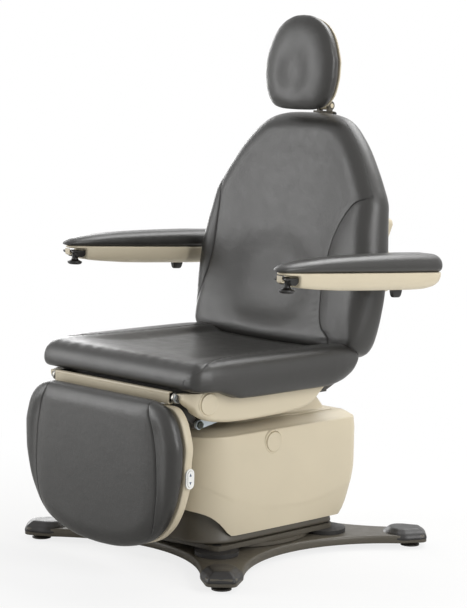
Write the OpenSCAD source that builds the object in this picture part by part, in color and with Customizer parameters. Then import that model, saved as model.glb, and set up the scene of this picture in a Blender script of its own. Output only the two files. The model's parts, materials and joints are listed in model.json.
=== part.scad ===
// Powered procedure chair: swivel star base, telescoping lift, tilting seat, reclining backrest with
// level arms, articulating headrest and swinging leg rest. The chair faces -Y, and its origin is the
// point on the floor under the swivel axis.

/* [Star base] */
// Half-width of the star at its waist
waist = 242; // [225:1:260]
// Distance from the centre to the widest place of a foot
foot_reach = 460; // [440:1:480]
// Half-width of a leg at that place
foot_half = 52; // [44:1:60]
// Distance from a foot's widest place to its end
foot_end = 73; // [60:1:80]
// Half-width of the end of a foot
foot_end_half = 37; // [30:1:42]
// Height of the casting's underside above the floor
star_gap = 14; // [10:1:18]
// Thickness of the casting
star_t = 22; // [18:1:26]
// Wall and rib thickness of the casting
star_wall = 6; // [4:0.5:8]
// Height of the foot caps' crown above the casting
cap_rise = 14; // [8:1:20]
// Radius of a levelling foot
pad_r = 25; // [18:1:30]
// Thickness of a levelling foot
pad_t = 8; // [5:0.5:9]
// Radius of a levelling stud
stud_r = 6; // [4:0.5:8]
// Distance from a foot's widest place to its levelling foot
pad_reach = 31; // [24:1:34]

/* [Turntable] */
// Radius of the swivel spindle
spindle_r = 40; // [30:1:50]
// Half-width of the turntable plate
plate_half = 212; // [205:1:218]
// Length of the turntable plate behind the axis
plate_rear = 198; // [190:1:205]
// Length of the turntable plate ahead of the axis
plate_front = 236; // [226:1:242]
// Thickness of the turntable plate
plate_t = 12; // [8:1:14]
// Thickness of the disc under the plate
disc_t = 9; // [6:0.5:10]
// Radius of that disc
disc_r = 226; // [200:1:235]
// Radius of a brake pad
brake_r = 56; // [45:1:60]

/* [Covers] */
// Half-width of the main cover
cover_half = 215; // [213:1:225]
// Length of the main cover ahead of the axis
cover_front = 280; // [276:1:292]
// Length of the main cover behind the axis
cover_rear = 290; // [280:1:296]
// Height of the main cover's lower edge
cover_low = 80; // [76:1:90]
// Height of the main cover's top
cover_top = 355; // [352:1:358]
// Height of the arch under the main cover's front
arch_h = 70; // [50:1:80]
// Radius of the main cover's front corners
cover_corner = 110; // [90:1:120]
// Wall of the covers and skirts
wall = 4; // [3:0.5:5]
// Gap between nested covers
nest_gap = 3.5; // [2:0.5:4]
// Radius of the round caps on the main cover
cover_cap_r = 30; // [24:1:34]

/* [Lift column] */
// Half-width of the outer column tube
column_half_x = 80; // [70:1:85]
// Half-depth of the outer column tube
column_half_y = 65; // [56:1:68]
// Wall of the column tubes
column_wall = 6; // [4:0.5:7]
// Sliding gap between the column tubes
column_gap = 0.5; // [0.4:0.1:1]
// Radius of the lift motor
motor_r = 30; // [20:1:32]

/* [Seat] */
// Half-width of the seat cushion
seat_half = 312; // [300:1:320]
// Length of the seat cushion ahead of the axis
seat_front = 388; // [382:1:392]
// Length of the seat cushion behind the axis
seat_rear = 200; // [190:1:204]
// Height of the seat cushion's underside
seat_low = 450; // [448:1:452]
// Height of the seat cushion's side rolls
seat_top = 549; // [540:1:560]
// Half-width of the seat shell
shell_half = 270; // [262:1:276]
// Radius of the round caps on the seat shell
shell_cap_r = 27; // [22:1:29]
// Thickness of the seat board
board_t = 12; // [8:1:12]
// Thickness of the seat frame's plate
frame_t = 4; // [3:0.5:5]

/* [Hinges] */
// Depth of the tilt axis behind the swivel axis
tilt_y = 60; // [50:1:70]
// Height of the tilt axis
tilt_z = 402; // [401:1:404]
// Depth of the recline axis behind the swivel axis
recline_y = 235; // [232:1:240]
// Height of the recline axis
recline_z = 470; // [466:1:474]
// Lean of the backrest from upright
back_lean = 8.5; // [5:0.5:12]
// Distance of the leg rest's axis ahead of the swivel axis
leg_y = 395; // [394:1:400]
// Height of the leg rest's axis
leg_z = 460; // [457:1:462]
// Radius of the main hinge pins
pin_r = 8; // [6:0.5:9]
// Radial clearance of pins, shafts and rods
fit = 0.05; // [0.03:0.01:0.08]

/* [Backrest] */
// Half-width of the back cushion
back_half = 326; // [315:1:332]
// Length of the back cushion from the recline axis
back_length = 668; // [650:1:680]
// Thickness of the back cushion at its side rolls
back_t = 98; // [85:1:105]
// Depth of the back shell
back_shell_t = 30; // [28:1:34]

/* [Headrest] */
// Half-width of the headrest
head_half = 126; // [115:1:130]
// Half-height of the headrest
head_half_h = 126; // [115:1:130]
// Thickness of the headrest cushion
head_t = 48; // [36:1:56]
// Height of the headrest's centre above the end of the back cushion
head_z = 136.3; // [134.3:1:159.3]
// Depth of the headrest's back plane behind the end of the back cushion
head_y = -57.7; // [-63.7:1:-51.7]

/* [Leg rest] */
// Half-width of the leg rest
leg_half = 290; // [284:1:298]
// Length of the leg rest from its axis
leg_length = 394; // [380:1:400]
// Thickness of the leg cushion
leg_t = 48; // [42:1:54]
// Depth of the leg rest's shell
leg_shell_t = 30; // [28:1:32]
// Half-distance between the guide rails
rail_x = 120; // [100:1:140]
// Radius of the guide rails
rail_r = 8; // [6:0.5:9]

/* [Arms] */
// Distance of an arm's centre from the middle of the chair
arm_x = 400; // [396:1:410]
// Half-width of an arm pad
arm_half = 50; // [46:1:52]
// Length of an arm ahead of its pivot
arm_length = 545; // [535:1:560]
// Thickness of an arm pad
pad_thick = 46; // [36:1:50]
// Slope of the arms
arm_slope = 3.3; // [2:0.1:5]
// Depth of the arms' pivot behind the swivel axis
arm_y = 318; // [314:1:322]
// Height of the arms' pivot
arm_z = 718; // [714:1:724]
// Radius of the arms' pivot shaft
arm_pin_r = 11; // [8:0.5:12]

/* [Hidden] */
$fn = 48;
// Cuts reach past the faces that they open
over = 20;
// Facets of a rounded corner, and of one span of a curved outline
corner_n = 6;
span_n = 3;
end_n = 16;
// Colours
taupe = "#5d574a";
charcoal = "#3a3736";
beige = "#cfc4ae";
vinyl = "#5f5e5a";
steel = "#8c8a84";
dark_steel = "#4a4742";
light_steel = "#b9c2c8";
white = "#f1f1ee";
plywood = "#b08d5b";

// Star base
star_top = star_gap + star_t;
leg_turns = [45, 135, 225, 315];
foot_tip = foot_reach + foot_end;
pad_place = foot_reach + pad_reach;
foot_px = (foot_reach + foot_half) / sqrt(2);
foot_py = (foot_reach - foot_half) / sqrt(2);
side_r = (pow(foot_px - waist, 2) + foot_py * foot_py) / (2 * (foot_px - waist));
foot_round = 14;
stud_fit = 1;
cap_seat = star_gap + star_wall + 2 * stud_fit;
cap_room = 0.3;
cap_round_r = foot_half + 2 * stud_fit;
cap_bevel = 9;
boss_r = 3 * stud_r;
hub_r = 2.4 * spindle_r;

// Turntable
flange_r = 2 * spindle_r;
flange_t = 6;
disc_lift = 2;
disc_z = star_top + disc_lift;
plate_z = disc_z + disc_t;
plate_top = plate_z + plate_t;
spindle_top = plate_top + disc_lift;
plate_corner = 24;
brake_post = 11;
brake_lift = 0.5;
brake_in = 20;

// Covers and skirts, from the outside in
middle_half = cover_half - wall - nest_gap;
lower_half = middle_half - wall - nest_gap;
middle_front = cover_front - wall - 3 * nest_gap;
lower_front = middle_front - wall - nest_gap;
middle_rear = middle_half;
lower_rear = middle_rear - wall - nest_gap;
cover_roof = cover_top - wall;
lower_skirt_low = plate_top + nest_gap;
carriage_t = 12;
carriage_z = cover_roof - carriage_t;
deck_t = 3;
deck_z = carriage_z - 3 * nest_gap;
lower_skirt_top = deck_z - nest_gap;
middle_skirt_low = cover_low + 2 * nest_gap;
middle_arch_h = arch_h - 2 * nest_gap;
skirt_rear_round = 30;
cover_rear_round = 45;
cover_brow = 22;
cover_tuck = 50;
arch_start = 14;
arch_y = cover_front - cover_corner + arch_start;
arch_run = 34;
cap_t = 3;
cover_cap_y = -40;
cover_cap_z = 307;
cap_ring = 5;
ring_t = 1.5;
neck_half = 154;
neck_front = 130;
neck_rear = 190;
neck_round = 60;
neck_drop = 4;
neck_top = tilt_z - neck_drop;

// Lift column
column_low = plate_top;
column_step = column_wall + column_gap;
motor_h = 120;
motor_x = -(column_half_x + motor_r + 3 * wall);
motor_y = 2 * motor_r;
carriage_lip = 20;
carriage_half_x = 125;
carriage_front = 122;
carriage_rear = 110;
yoke_x = 117;
yoke_t = 10;
yoke_head = 1.75 * pin_r;
pin_head_r = 1.5 * pin_r;
pin_head_t = 3;
tilt_rod_r = 9;
tilt_rod_y = -95;
tilt_body_r = 16;
tilt_body_h = 40;
tilt_play = 3;

// Seat frame and shell
board_z = seat_low - board_t;
frame_top = board_z;
rail_h = 26;
rail_t = 4;
rail_half = 195;
frame_front = 345;
frame_rear = 172;
ear_x = 104;
ear_t = 9;
back_ear_x = 206;
back_ear_t = 10;
ear_wall = 6;
back_ear_r = pin_r + ear_wall;
ear_root = 20;
ear_root_y = frame_rear - ear_root;
ear_bridge_t = 10;
leg_pin_r = 0.75 * pin_r;
bracket_in = 43;
bracket_x = shell_half - bracket_in;
bracket_t = 10;
bracket_r = 13;
tube_r = 11;
shell_drop = 60;
shell_nose = 8;
shell_lip = 22;
shell_chin = 10;
shell_jaw = 42;
shell_run = 92;
shell_sag_y = 20;
shell_heel_y = 42;
shell_heel = 12;
shell_tail_y = 98;
brim_rear = 62;
brim_step = 238;
brim_front = 300;
shell_low = seat_low - shell_drop;
bay_gap = 8;
bay_half = rail_half + bay_gap;
cheek_t = 35;
front_bay_half = shell_half - cheek_t;
front_bay_rear = 140;
shell_cap_y = -325;
shell_cap_z = 443;
actuator_r = 13;
actuator_rod_r = 7;
leg_rod_x = -60;
leg_rod_drop = 25;
leg_rod_z = frame_top - leg_rod_drop;
leg_body_front = -155;
leg_body_rear = 45;
leg_rod_l = 205;
link_end_t = 6;
recline_rod_x = -172;
recline_body_front = -60;
recline_body_rear = 120;
recline_rod_front = 95;

// Backrest
back_ang = 90 - back_lean;
back_frame_t = 4;
back_frame_z = -16;
back_link_x = back_ear_x - back_ear_t - stud_fit;
back_link_t = 9;
back_base = 52;
back_end_y = recline_y + back_length * cos(back_ang);
back_end_z = recline_z + back_length * sin(back_ang);
back_crown_r = 2600;
torque_r = 12;
back_boss_x = 170;
back_boss_r = 14;
recline_crank = 60;
recline_swing = 40;
recline_crank_in = 15;
recline_crank_x = recline_rod_x + recline_crank_in;
recline_crank_t = 8;
recline_crank_r = 10;
recline_pin_r = 5;
recline_crank_y = recline_y + recline_crank * sin(recline_swing);
recline_crank_z = recline_z - recline_crank * cos(recline_swing);
recline_rod_z = recline_z - recline_crank * (1 + cos(recline_swing)) / 2;
rod_slot = recline_pin_r + 2 * stud_fit;
rod_slot_z = recline_crank * (1 - cos(recline_swing)) / 2 + rod_slot;
rod_head = rod_slot + wall;
rod_head_z = rod_slot_z + wall;

// Arms
arm_dy = arm_y - recline_y;
arm_dz = arm_z - recline_z;
arm_ly = arm_dy * cos(back_ang) + arm_dz * sin(back_ang);
arm_lz = arm_dz * cos(back_ang) - arm_dy * sin(back_ang);
arm_line = 22;
arm_hub_r = 17;
carrier_r = 26;
carrier_in = 294;
carrier_out = arm_x - arm_half - 2 * stud_fit;
pivot_reach = 12;
pivot_in = arm_x - pivot_reach;
trigger_back = 37;
trigger_y = trigger_back - arm_length;
trigger_stem_r = 6;
trigger_travel = 6;
trigger_half = 28;
arm_notch = 16;
arm_belly = 46;
arm_heel = 30;
arm_heel_low = 26;
yoke_half = carrier_in - wall;
yoke_under = 62;
yoke_low = arm_ly - yoke_under;
yoke_over = 150;
yoke_high = arm_ly + yoke_over;
yoke_knee = 24;
yoke_depth = 42;
yoke_round = 50;

// Headrest
head_behind = 38;
head_under = 35;
head_link_r = 12;
mast_half = 22;
mast_t = 9;
mast_low = 420;
mast_z = -13;
mast_guide = 110;
link_y = back_end_y + 1.5 * head_link_r;
link_z = back_end_z + mast_half;
head_place_y = back_end_y + head_y;
head_place_z = back_end_z + head_z;
head_pivot_y = head_place_y + head_behind;
head_pivot_z = head_place_z - head_under;
link_ly = (link_y - recline_y) * cos(back_ang) + (link_z - recline_z) * sin(back_ang);
link_lz = (link_z - recline_z) * cos(back_ang) - (link_y - recline_y) * sin(back_ang);
link_pin_r = 6;
fork_t = 8;
head_shell_t = 14;
head_lean = 4;
button_r = 4;
mast_collar = 0.99 * back_length + stud_fit / 2;

// Leg rest
leg_shell_z = -10;
leg_pad_z = leg_shell_z + leg_shell_t;
crank_in = 26;
crank_x = bracket_x - crank_in;
crank_t = 10;
crank_ly = -79;
crank_lz = -91;
crank_pin_r = 7;
crank_r = 9;
sleeve_r = 13;
sleeve_lz = -26;
sleeve_top = 40;
sleeve_end = 190;
rail_top = 20;
rail_end = 300;
leg_shell_top = 18;
link_l = 135;
link_rise = 24;
link_r = 8;
link_t = 7;
link_in = crank_x + crank_t / 2 + stud_fit;
link_front_y = -leg_y - crank_lz;
link_front_z = leg_z + crank_ly;
link_rear_y = link_front_y + link_l;
link_rear_z = link_front_z + link_rise;
panel_half = 15;
panel_t = 3.5;
switch_ly = -190;
switch_lz = 6;
switch_half = 20;
switch_w = 8;
switch_sink = 5;
switch_seat = leg_half - switch_sink;
switch_gap = 1;

// A half outline from its bottom to its top, mirrored to the other side
function both_sides(p) = concat(p, [for (i = [len(p) - 1:-1:0]) if (p[i][0] > 0) [-p[i][0], p[i][1]]]);

// Round corner b of the path a, b, c with radius r
function corner(a, b, c, r) =
  let (
    u = (a - b) / norm(a - b),
    v = (c - b) / norm(c - b),
    half = acos(u * v) / 2,
    middle = b + (u + v) / norm(u + v) * r / sin(half),
    s = b + u * r / tan(half) - middle,
    e = b + v * r / tan(half) - middle,
    start = atan2(s[1], s[0]),
    turn = (atan2(e[1], e[0]) - start + 540) % 360 - 180
  )
  [for (i = [0:corner_n]) middle + r * [cos(start + turn * i / corner_n), sin(start + turn * i / corner_n)]];

// Outline through points of [x, y, corner radius]
function rounded(p) = [
  for (i = [0:len(p) - 1])
    let (
      a = p[(i + len(p) - 1) % len(p)],
      b = p[i],
      c = p[(i + 1) % len(p)]
    )
    each (b[2] == 0 ? [[b[0], b[1]]] : corner([a[0], a[1]], [b[0], b[1]], [c[0], c[1]], b[2]))
];

// Value between the points b and c of a smooth curve through a, b, c and d
function smooth(a, b, c, d, t) =
  b + (c - a) * t / 2 + (2 * a - 5 * b + 4 * c - d) * t * t / 2 + (3 * b - a - 3 * c + d) * t * t * t / 2;

// Closed smooth curve through the points
function curve(p) = [
  for (i = [0:len(p) - 1], k = [0:span_n - 1])
    smooth(p[(i + len(p) - 1) % len(p)], p[i], p[(i + 1) % len(p)], p[(i + 2) % len(p)], k / span_n)
];

// Plan of a box with round corners: half-width, front, rear, front radius, rear radius
function plan(half, front, rear, front_r, rear_r) = rounded([
  [-half, -front, front_r], [half, -front, front_r], [half, rear, rear_r], [-half, rear, rear_r]
]);

// Outline in the YZ plane made solid across the width w
module side_slab(outline, w) {
  rotate([90, 0, 90])
    translate([0, 0, -w / 2])
      linear_extrude(w)
        polygon(outline);
}

// Cylinder along X, centred on the YZ plane at x
module cross_rod(r, w, x = 0) {
  translate([x - w / 2, 0, 0])
    rotate([0, 90, 0])
      cylinder(h = w, r = r);
}

// The children at both sides of the chair
module pair() {
  children();
  mirror([1, 0, 0])
    children();
}

// Box between two corners
module block(a, b) {
  translate(a)
    cube(b - a);
}

// Closed skin over rings of points
module loft(rings) {
  n = len(rings[0]);
  m = len(rings);
  last = (m - 1) * n;
  points = concat(
    [for (r = rings) each r],
    [[for (j = [0:2]) mean([for (q = rings[0]) q[j]])], [for (j = [0:2]) mean([for (q = rings[m - 1]) q[j]])]]
  );
  faces = concat(
    [for (k = [0:m - 2], i = [0:n - 1])
      let (a = k * n + i, b = k * n + (i + 1) % n)
      each [[a, b, b + n], [a, b + n, a + n]]],
    [for (i = [0:n - 1]) [m * n, (i + 1) % n, i]],
    [for (i = [0:n - 1]) [m * n + 1, last + i, last + (i + 1) % n]]
  );
  polyhedron(points, faces);
}

function total(v, i = 0) = i < len(v) ? v[i] + total(v, i + 1) : 0;
function mean(v) = total(v) / len(v);

// Ring of a cushion at the length y. The shares go from the middle of the underside round the side roll
// to the middle of the top, and the dish lowers the part between the seams.
function cushion_ring(shares, y, half, low, high, dish) =
  let (
    right = [for (s = shares)
      [half * s[0], y, low + (high - low) * s[1] - dish * s[2]]]
  )
  concat(right, [for (i = [len(right) - 1:-1:0]) if (right[i][0] > 0) [-right[i][0], y, right[i][2]]]);

// Section of a cushion with a seam beside each side roll: share of the half-width, of the height and
// of the dish
roll_shares = [
  [0, 0, 0], [0.45, 0, 0], [0.82, 0, 0], [0.91, 0.02, 0], [0.96, 0.13, 0], [0.99, 0.33, 0], [1, 0.54, 0],
  [0.985, 0.74, 0], [0.94, 0.89, 0], [0.87, 0.97, 0], [0.80, 0.985, 0], [0.765, 0.95, 0.1],
  [0.75, 0.915, 0.2], [0.735, 0.945, 0.25], [0.62, 0.965, 0.55], [0.42, 0.98, 0.85], [0.2, 0.99, 0.97],
  [0, 1, 1]
];

// Section of a plain crowned pad
pad_shares = [
  [0, 0, 0], [0.6, 0, 0], [0.92, 0, 0], [0.99, 0.14, 0], [1, 0.42, 0], [0.97, 0.68, 0.05], [0.88, 0.86, 0.2],
  [0.7, 0.95, 0.45], [0.45, 0.99, 0.8], [0.2, 1, 0.95], [0, 1, 1]
];

// Star base

// The four feet joined into one outline, with a round bite in each side
module star_plan(inset) {
  foot = [
    [foot_reach, -foot_half + inset, 0], [foot_tip - inset, -foot_end_half + inset, foot_round],
    [foot_tip - inset, foot_end_half - inset, foot_round], [foot_reach, foot_half - inset, 0]
  ];
  outline = rounded([for (a = leg_turns, p = foot)
    [p[0] * cos(a) - p[1] * sin(a), p[0] * sin(a) + p[1] * cos(a), p[2]]]);
  difference() {
    polygon(outline);
    for (a = leg_turns)
      rotate(a - leg_turns[0])
        translate([waist + side_r, 0])
          circle(r = side_r + inset, $fn = 2 * $fn);
  }
}

// Plan of the end of one foot on the +X axis, out from a round front edge
module foot_plan(inset) {
  intersection() {
    rotate(-leg_turns[0])
      star_plan(inset);
    union() {
      translate([foot_reach, 0])
        circle(r = cap_round_r - inset);
      translate([foot_reach, -foot_half])
        square([foot_end, 2 * foot_half]);
    }
  }
}

module star_base() {
  color(taupe)
    difference() {
      translate([0, 0, star_gap])
        linear_extrude(star_t)
          star_plan(0);
      difference() {
        translate([0, 0, star_gap - over])
          linear_extrude(star_t - star_wall + over)
            star_plan(star_wall);
        cylinder(h = star_top, r = hub_r);
        for (a = leg_turns)
          rotate(a) {
            translate([0, -star_wall / 2, 0])
              cube([foot_tip, star_wall, star_top]);
            translate([pad_place, 0, 0])
              cylinder(h = star_top, r = boss_r);
            translate([foot_reach - 2 * cap_round_r, -foot_half, 0])
              cube([star_wall, 2 * foot_half, star_top]);
          }
      }
      for (a = leg_turns)
        rotate(a) {
          translate([0, 0, cap_seat])
            linear_extrude(star_t)
              foot_plan(-cap_room);
          translate([pad_place, 0, 0])
            cylinder(h = cap_seat + over, r = stud_r + stud_fit / 2);
        }
    }
}

module foot_caps() {
  color(charcoal)
    for (a = leg_turns)
      rotate(a)
        difference() {
          hull() {
            translate([0, 0, cap_seat])
              linear_extrude(star_top - cap_seat)
                foot_plan(0);
            translate([0, 0, star_top + cap_rise / 2])
              linear_extrude(stud_fit)
                foot_plan(cap_bevel / 2);
            translate([0, 0, star_top + cap_rise - stud_fit])
              linear_extrude(stud_fit)
                foot_plan(2 * cap_bevel);
          }
          translate([pad_place, 0, 0])
            cylinder(h = cap_seat + stud_r, r = stud_r + stud_fit / 2);
        }
}

module levelling_feet() {
  color(dark_steel)
    for (a = leg_turns)
      rotate(a)
        translate([pad_place, 0, 0]) {
          cylinder(h = pad_t / 2, r = pad_r);
          translate([0, 0, pad_t / 2])
            cylinder(h = pad_t / 2, r1 = pad_r, r2 = pad_r / 2);
          cylinder(h = cap_seat, r = stud_r);
        }
}

module swivel_spindle() {
  color(steel)
    translate([0, 0, star_top]) {
      cylinder(h = spindle_top - star_top, r = spindle_r);
      cylinder(h = flange_t, r = flange_r);
    }
}

// Turntable

module turntable_plate() {
  color(taupe)
    difference() {
      union() {
        translate([0, 0, plate_z])
          linear_extrude(plate_t)
            polygon(plan(plate_half, plate_front, plate_rear, plate_corner, plate_corner));
        translate([0, 0, disc_z])
          cylinder(h = disc_t, r = disc_r, $fn = 2 * $fn);
      }
      translate([0, 0, disc_z - over])
        cylinder(h = plate_top + over, r = spindle_r + fit);
      translate([0, 0, star_top - over])
        cylinder(h = flange_t + over + brake_lift, r = flange_r + nest_gap);
      brake_places()
        cylinder(h = plate_top, r = brake_post + stud_fit);
      brake_places()
        cylinder(h = plate_z, r = brake_r + stud_fit);
    }
}

// A brake at each corner of the turntable
module brake_places() {
  for (x = [-1, 1], y = [-plate_front + brake_in, plate_rear - brake_in])
    translate([x * (plate_half - brake_in), y, 0])
      children();
}

module brake_pads() {
  color(charcoal)
    brake_places() {
      translate([0, 0, star_top + brake_lift])
        cylinder(h = plate_z - star_top - brake_lift, r = brake_r);
      translate([0, 0, star_top + brake_lift])
        cylinder(h = plate_top - star_top - brake_lift, r = brake_post);
    }
}

// Box without top or bottom
module skirt(half, front, rear, low, top) {
  translate([0, 0, low])
    linear_extrude(top - low)
      difference() {
        polygon(plan(half, front, rear, cover_corner - cover_half + half, skirt_rear_round));
        polygon(plan(half - wall, front - wall, rear - wall, cover_corner - cover_half + half - wall,
          skirt_rear_round - wall));
      }
}

// Cut that leaves an arch of the height h over the front of a cover that starts at the height low
module arch(low, h) {
  side_slab(rounded([
    [-cover_front - over, low - over, 0], [-arch_y, low - over, 0], [-arch_y, low, 0],
    [-arch_y - arch_run / 2, low + h - arch_run / 3, arch_run / 3],
    [-arch_y - 2 * arch_run, low + h, arch_run / 3], [-cover_front - over, low + h, 0]
  ]), 2 * cover_half + over);
}

module lower_skirt() {
  color(taupe)
    union() {
      skirt(lower_half, lower_front, lower_rear, lower_skirt_low, lower_skirt_top);
      skirt(lower_half - wall / 2, lower_front - wall / 2, lower_rear - wall / 2, plate_top,
        lower_skirt_low + wall);
    }
}

// Square tube around the lift's axis, smaller by a step than the outer one
module column(step, low, top) {
  x = column_half_x - step;
  y = column_half_y - step;
  difference() {
    block([-x, -y, low], [x, y, top]);
    block([-x + column_wall, -y + column_wall, low - over], [x - column_wall, y - column_wall, top + over]);
  }
}

module column_outer() {
  color(steel)
    column(0, column_low, lower_skirt_top);
}

module lift_motor() {
  color(dark_steel) {
    translate([motor_x, motor_y, plate_top + motor_r])
      cylinder(h = motor_h, r = motor_r);
    block([motor_x - motor_r, motor_y - motor_r, plate_top],
      [-column_half_x - column_gap, motor_y + motor_r, plate_top + motor_r]);
  }
}

// Middle stage

module middle_skirt() {
  color(taupe)
    difference() {
      skirt(middle_half, middle_front, middle_rear, middle_skirt_low, deck_z + deck_t);
      arch(middle_skirt_low, middle_arch_h);
    }
}

module column_middle() {
  color(steel) {
    column(column_step, column_low + column_wall, deck_z + deck_t);
    translate([0, 0, deck_z])
      linear_extrude(deck_t)
        difference() {
          polygon(plan(middle_half - wall, middle_front - wall, middle_rear - wall,
            cover_corner - cover_half + middle_half - wall, skirt_rear_round - wall));
          square([2 * (column_half_x - column_step - stud_fit), 2 * (column_half_y - column_step - stud_fit)],
            center = true);
        }
  }
}

// Carriage

// Side view of the main cover, taken in by the wall w
function cover_side(w) = rounded([
  [-cover_front + w, cover_low - (w > 0 ? over : 0), 0], [-cover_front + w, cover_top - w, cover_brow - w],
  [cover_rear - w, cover_top - w, cover_brow - w],
  [cover_rear - w, (cover_low + cover_top) / 2, cover_half / 3],
  [cover_rear - cover_tuck - w, cover_low - (w > 0 ? over : 0), 0]
]);

module cover_solid(w) {
  intersection() {
    side_slab(cover_side(w), 2 * (cover_half - w));
    linear_extrude(cover_top)
      polygon(plan(cover_half - w, cover_front - w, cover_rear - w, cover_corner - w, cover_rear_round - w));
  }
}

module main_cover() {
  color(beige)
    difference() {
      union() {
        difference() {
          cover_solid(0);
          cover_solid(wall);
          arch(cover_low, arch_h);
        }
        pair()
          translate([cover_half, cover_cap_y, cover_cap_z])
            cross_rod(cover_cap_r + cap_ring, 2 * ring_t);
      }
      block([-carriage_half_x, -carriage_front, cover_roof - over],
        [carriage_half_x, carriage_rear, cover_top + over]);
      pair()
        translate([cover_half + over / 2, cover_cap_y, cover_cap_z])
          cross_rod(cover_cap_r, over);
    }
}

module cover_caps() {
  color(beige)
    pair()
      translate([cover_half + cap_t / 2, cover_cap_y, cover_cap_z])
        cross_rod(cover_cap_r, cap_t);
}

module column_inner() {
  color(steel)
    column(2 * column_step, column_low + 2 * column_wall, carriage_z);
}

module carriage_yoke() {
  color(dark_steel)
    difference() {
      union() {
        block([-carriage_half_x - carriage_lip, -carriage_front - carriage_lip, carriage_z],
          [carriage_half_x + carriage_lip, carriage_rear + carriage_lip, carriage_z + carriage_t]);
        pair() {
          block([yoke_x - yoke_t / 2, tilt_y - 2 * yoke_head, carriage_z],
            [yoke_x + yoke_t / 2, tilt_y + 2 * yoke_head, tilt_z - yoke_head]);
          block([yoke_x - yoke_t / 2, tilt_y - yoke_head, carriage_z],
            [yoke_x + yoke_t / 2, tilt_y + yoke_head, tilt_z]);
          translate([0, tilt_y, tilt_z])
            cross_rod(yoke_head, yoke_t, yoke_x);
        }
      }
      translate([0, tilt_y, tilt_z])
        cross_rod(pin_r + fit, 2 * carriage_half_x);
    }
}

module neck_cover() {
  color(beige)
    translate([0, 0, cover_top])
      linear_extrude(neck_top - cover_top)
        difference() {
          polygon(plan(neck_half, neck_front, neck_rear, neck_round, skirt_rear_round));
          polygon(plan(neck_half - wall, neck_front - wall, neck_rear - wall, neck_round - wall,
            skirt_rear_round - wall));
        }
}

// Pin along X with a head at each end
module headed_pin(r, w) {
  cross_rod(r, w);
  pair()
    cross_rod(1.5 * r, pin_head_t, w / 2 + pin_head_t / 2);
}

module tilt_pin() {
  color(steel)
    translate([0, tilt_y, tilt_z])
      headed_pin(pin_r, 2 * yoke_x + yoke_t);
}

module tilt_actuator() {
  color(dark_steel)
    translate([0, tilt_rod_y, carriage_z + carriage_t])
      difference() {
        cylinder(h = tilt_body_h, r = tilt_body_r);
        translate([0, 0, pin_head_t])
          cylinder(h = tilt_body_h, r = tilt_rod_r + fit);
      }
}

module tilt_rod() {
  color(steel)
    translate([0, tilt_rod_y, carriage_z + carriage_t + pin_head_t + tilt_play])
      cylinder(h = frame_top - frame_t - tilt_play - carriage_z - carriage_t - pin_head_t - tilt_play,
        r = tilt_rod_r);
}

// Seat

// Plate on edge whose ends are round about two points of the YZ plane
module link_plate(a, b, r, w, x) {
  d = b - a;
  ang = atan2(d[1], d[0]) + 90;
  translate([x, 0, 0])
    side_slab(concat(
      [for (i = [0:end_n]) a + r * [cos(ang + 180 * i / end_n), sin(ang + 180 * i / end_n)]],
      [for (i = [0:end_n]) b - r * [cos(ang + 180 * i / end_n), sin(ang + 180 * i / end_n)]]
    ), w);
}

module seat_frame() {
  color(dark_steel)
    difference() {
      union() {
        block([-rail_half, -frame_front, frame_top - frame_t], [rail_half, frame_rear, frame_top]);
        pair() {
          block([rail_half - rail_t, -frame_front, frame_top - rail_h], [rail_half, frame_rear, frame_top]);
          block([ear_x - ear_t / 2, tilt_y - yoke_head, tilt_z],
            [ear_x + ear_t / 2, tilt_y + yoke_head, frame_top]);
          translate([0, tilt_y, tilt_z])
            cross_rod(yoke_head, ear_t, ear_x);
          link_plate([ear_root_y, frame_top - frame_t], [recline_y, recline_z], back_ear_r, back_ear_t,
            back_ear_x);
          block([rail_half - rail_t, ear_root_y - ear_bridge_t, frame_top - frame_t - ear_bridge_t],
            [back_ear_x, ear_root_y + ear_bridge_t, frame_top - frame_t]);
        }
        block([-bracket_x + bracket_t / 2, -frame_front - frame_t, frame_top - frame_t],
          [bracket_x - bracket_t / 2, -frame_front, leg_z + bracket_r]);
      }
      translate([0, tilt_y, tilt_z])
        cross_rod(pin_r + fit, 2 * rail_half);
      translate([0, recline_y, recline_z])
        cross_rod(pin_r + fit, 3 * rail_half);
    }
}

// Lower edge of the seat shell in side view, from its nose to its rear tip
function shell_edge(up) = [
  [-seat_front - shell_nose / 2, seat_low + shell_lip + up, shell_nose / 2],
  [-seat_front - shell_nose, seat_low + shell_nose / 4 + up, shell_nose],
  [-seat_front + shell_chin, shell_low + shell_jaw + up, shell_chin],
  [-seat_front + shell_run, shell_low + up, shell_drop],
  [-shell_sag_y, shell_low - stud_fit + up, 1.5 * shell_drop],
  [shell_heel_y, shell_low + shell_heel + up, shell_drop / 2],
  [shell_tail_y, seat_low + shell_nose / 2 + up, shell_drop / 10]
];
// Upper edge, which follows the underside of the cushion
function shell_brim(up) = [
  [brim_rear, seat_low - shell_nose / 4 + up, shell_nose / 2],
  [-brim_step, seat_low - shell_nose / 4 + up, shell_chin],
  [-brim_front, seat_low + shell_lip + up, shell_chin]
];

module seat_shell() {
  outer = rounded(concat(shell_edge(0), shell_brim(0)));
  inner = rounded(concat(shell_edge(wall), shell_brim(over)));
  color(beige)
    difference() {
      union() {
        difference() {
          side_slab(outer, 2 * shell_half);
          side_slab(inner, 2 * (shell_half - wall));
        }
        pair()
          translate([0, shell_cap_y, shell_cap_z])
            cross_rod(shell_cap_r + wall, wall + ring_t, shell_half + ring_t - (wall + ring_t) / 2);
      }
      block([-front_bay_half, -seat_front - over, shell_low - over],
        [front_bay_half, -front_bay_rear, seat_top]);
      block([-bay_half, -front_bay_rear - over, shell_low - over], [bay_half, seat_rear, seat_top]);
      block([-shell_half + 2 * wall, -frame_front, board_z - stud_fit],
        [shell_half - 2 * wall, seat_rear, seat_top]);
      pair()
        translate([0, shell_cap_y, shell_cap_z])
          cross_rod(shell_cap_r, over, shell_half + over / 2);
    }
}

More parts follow.
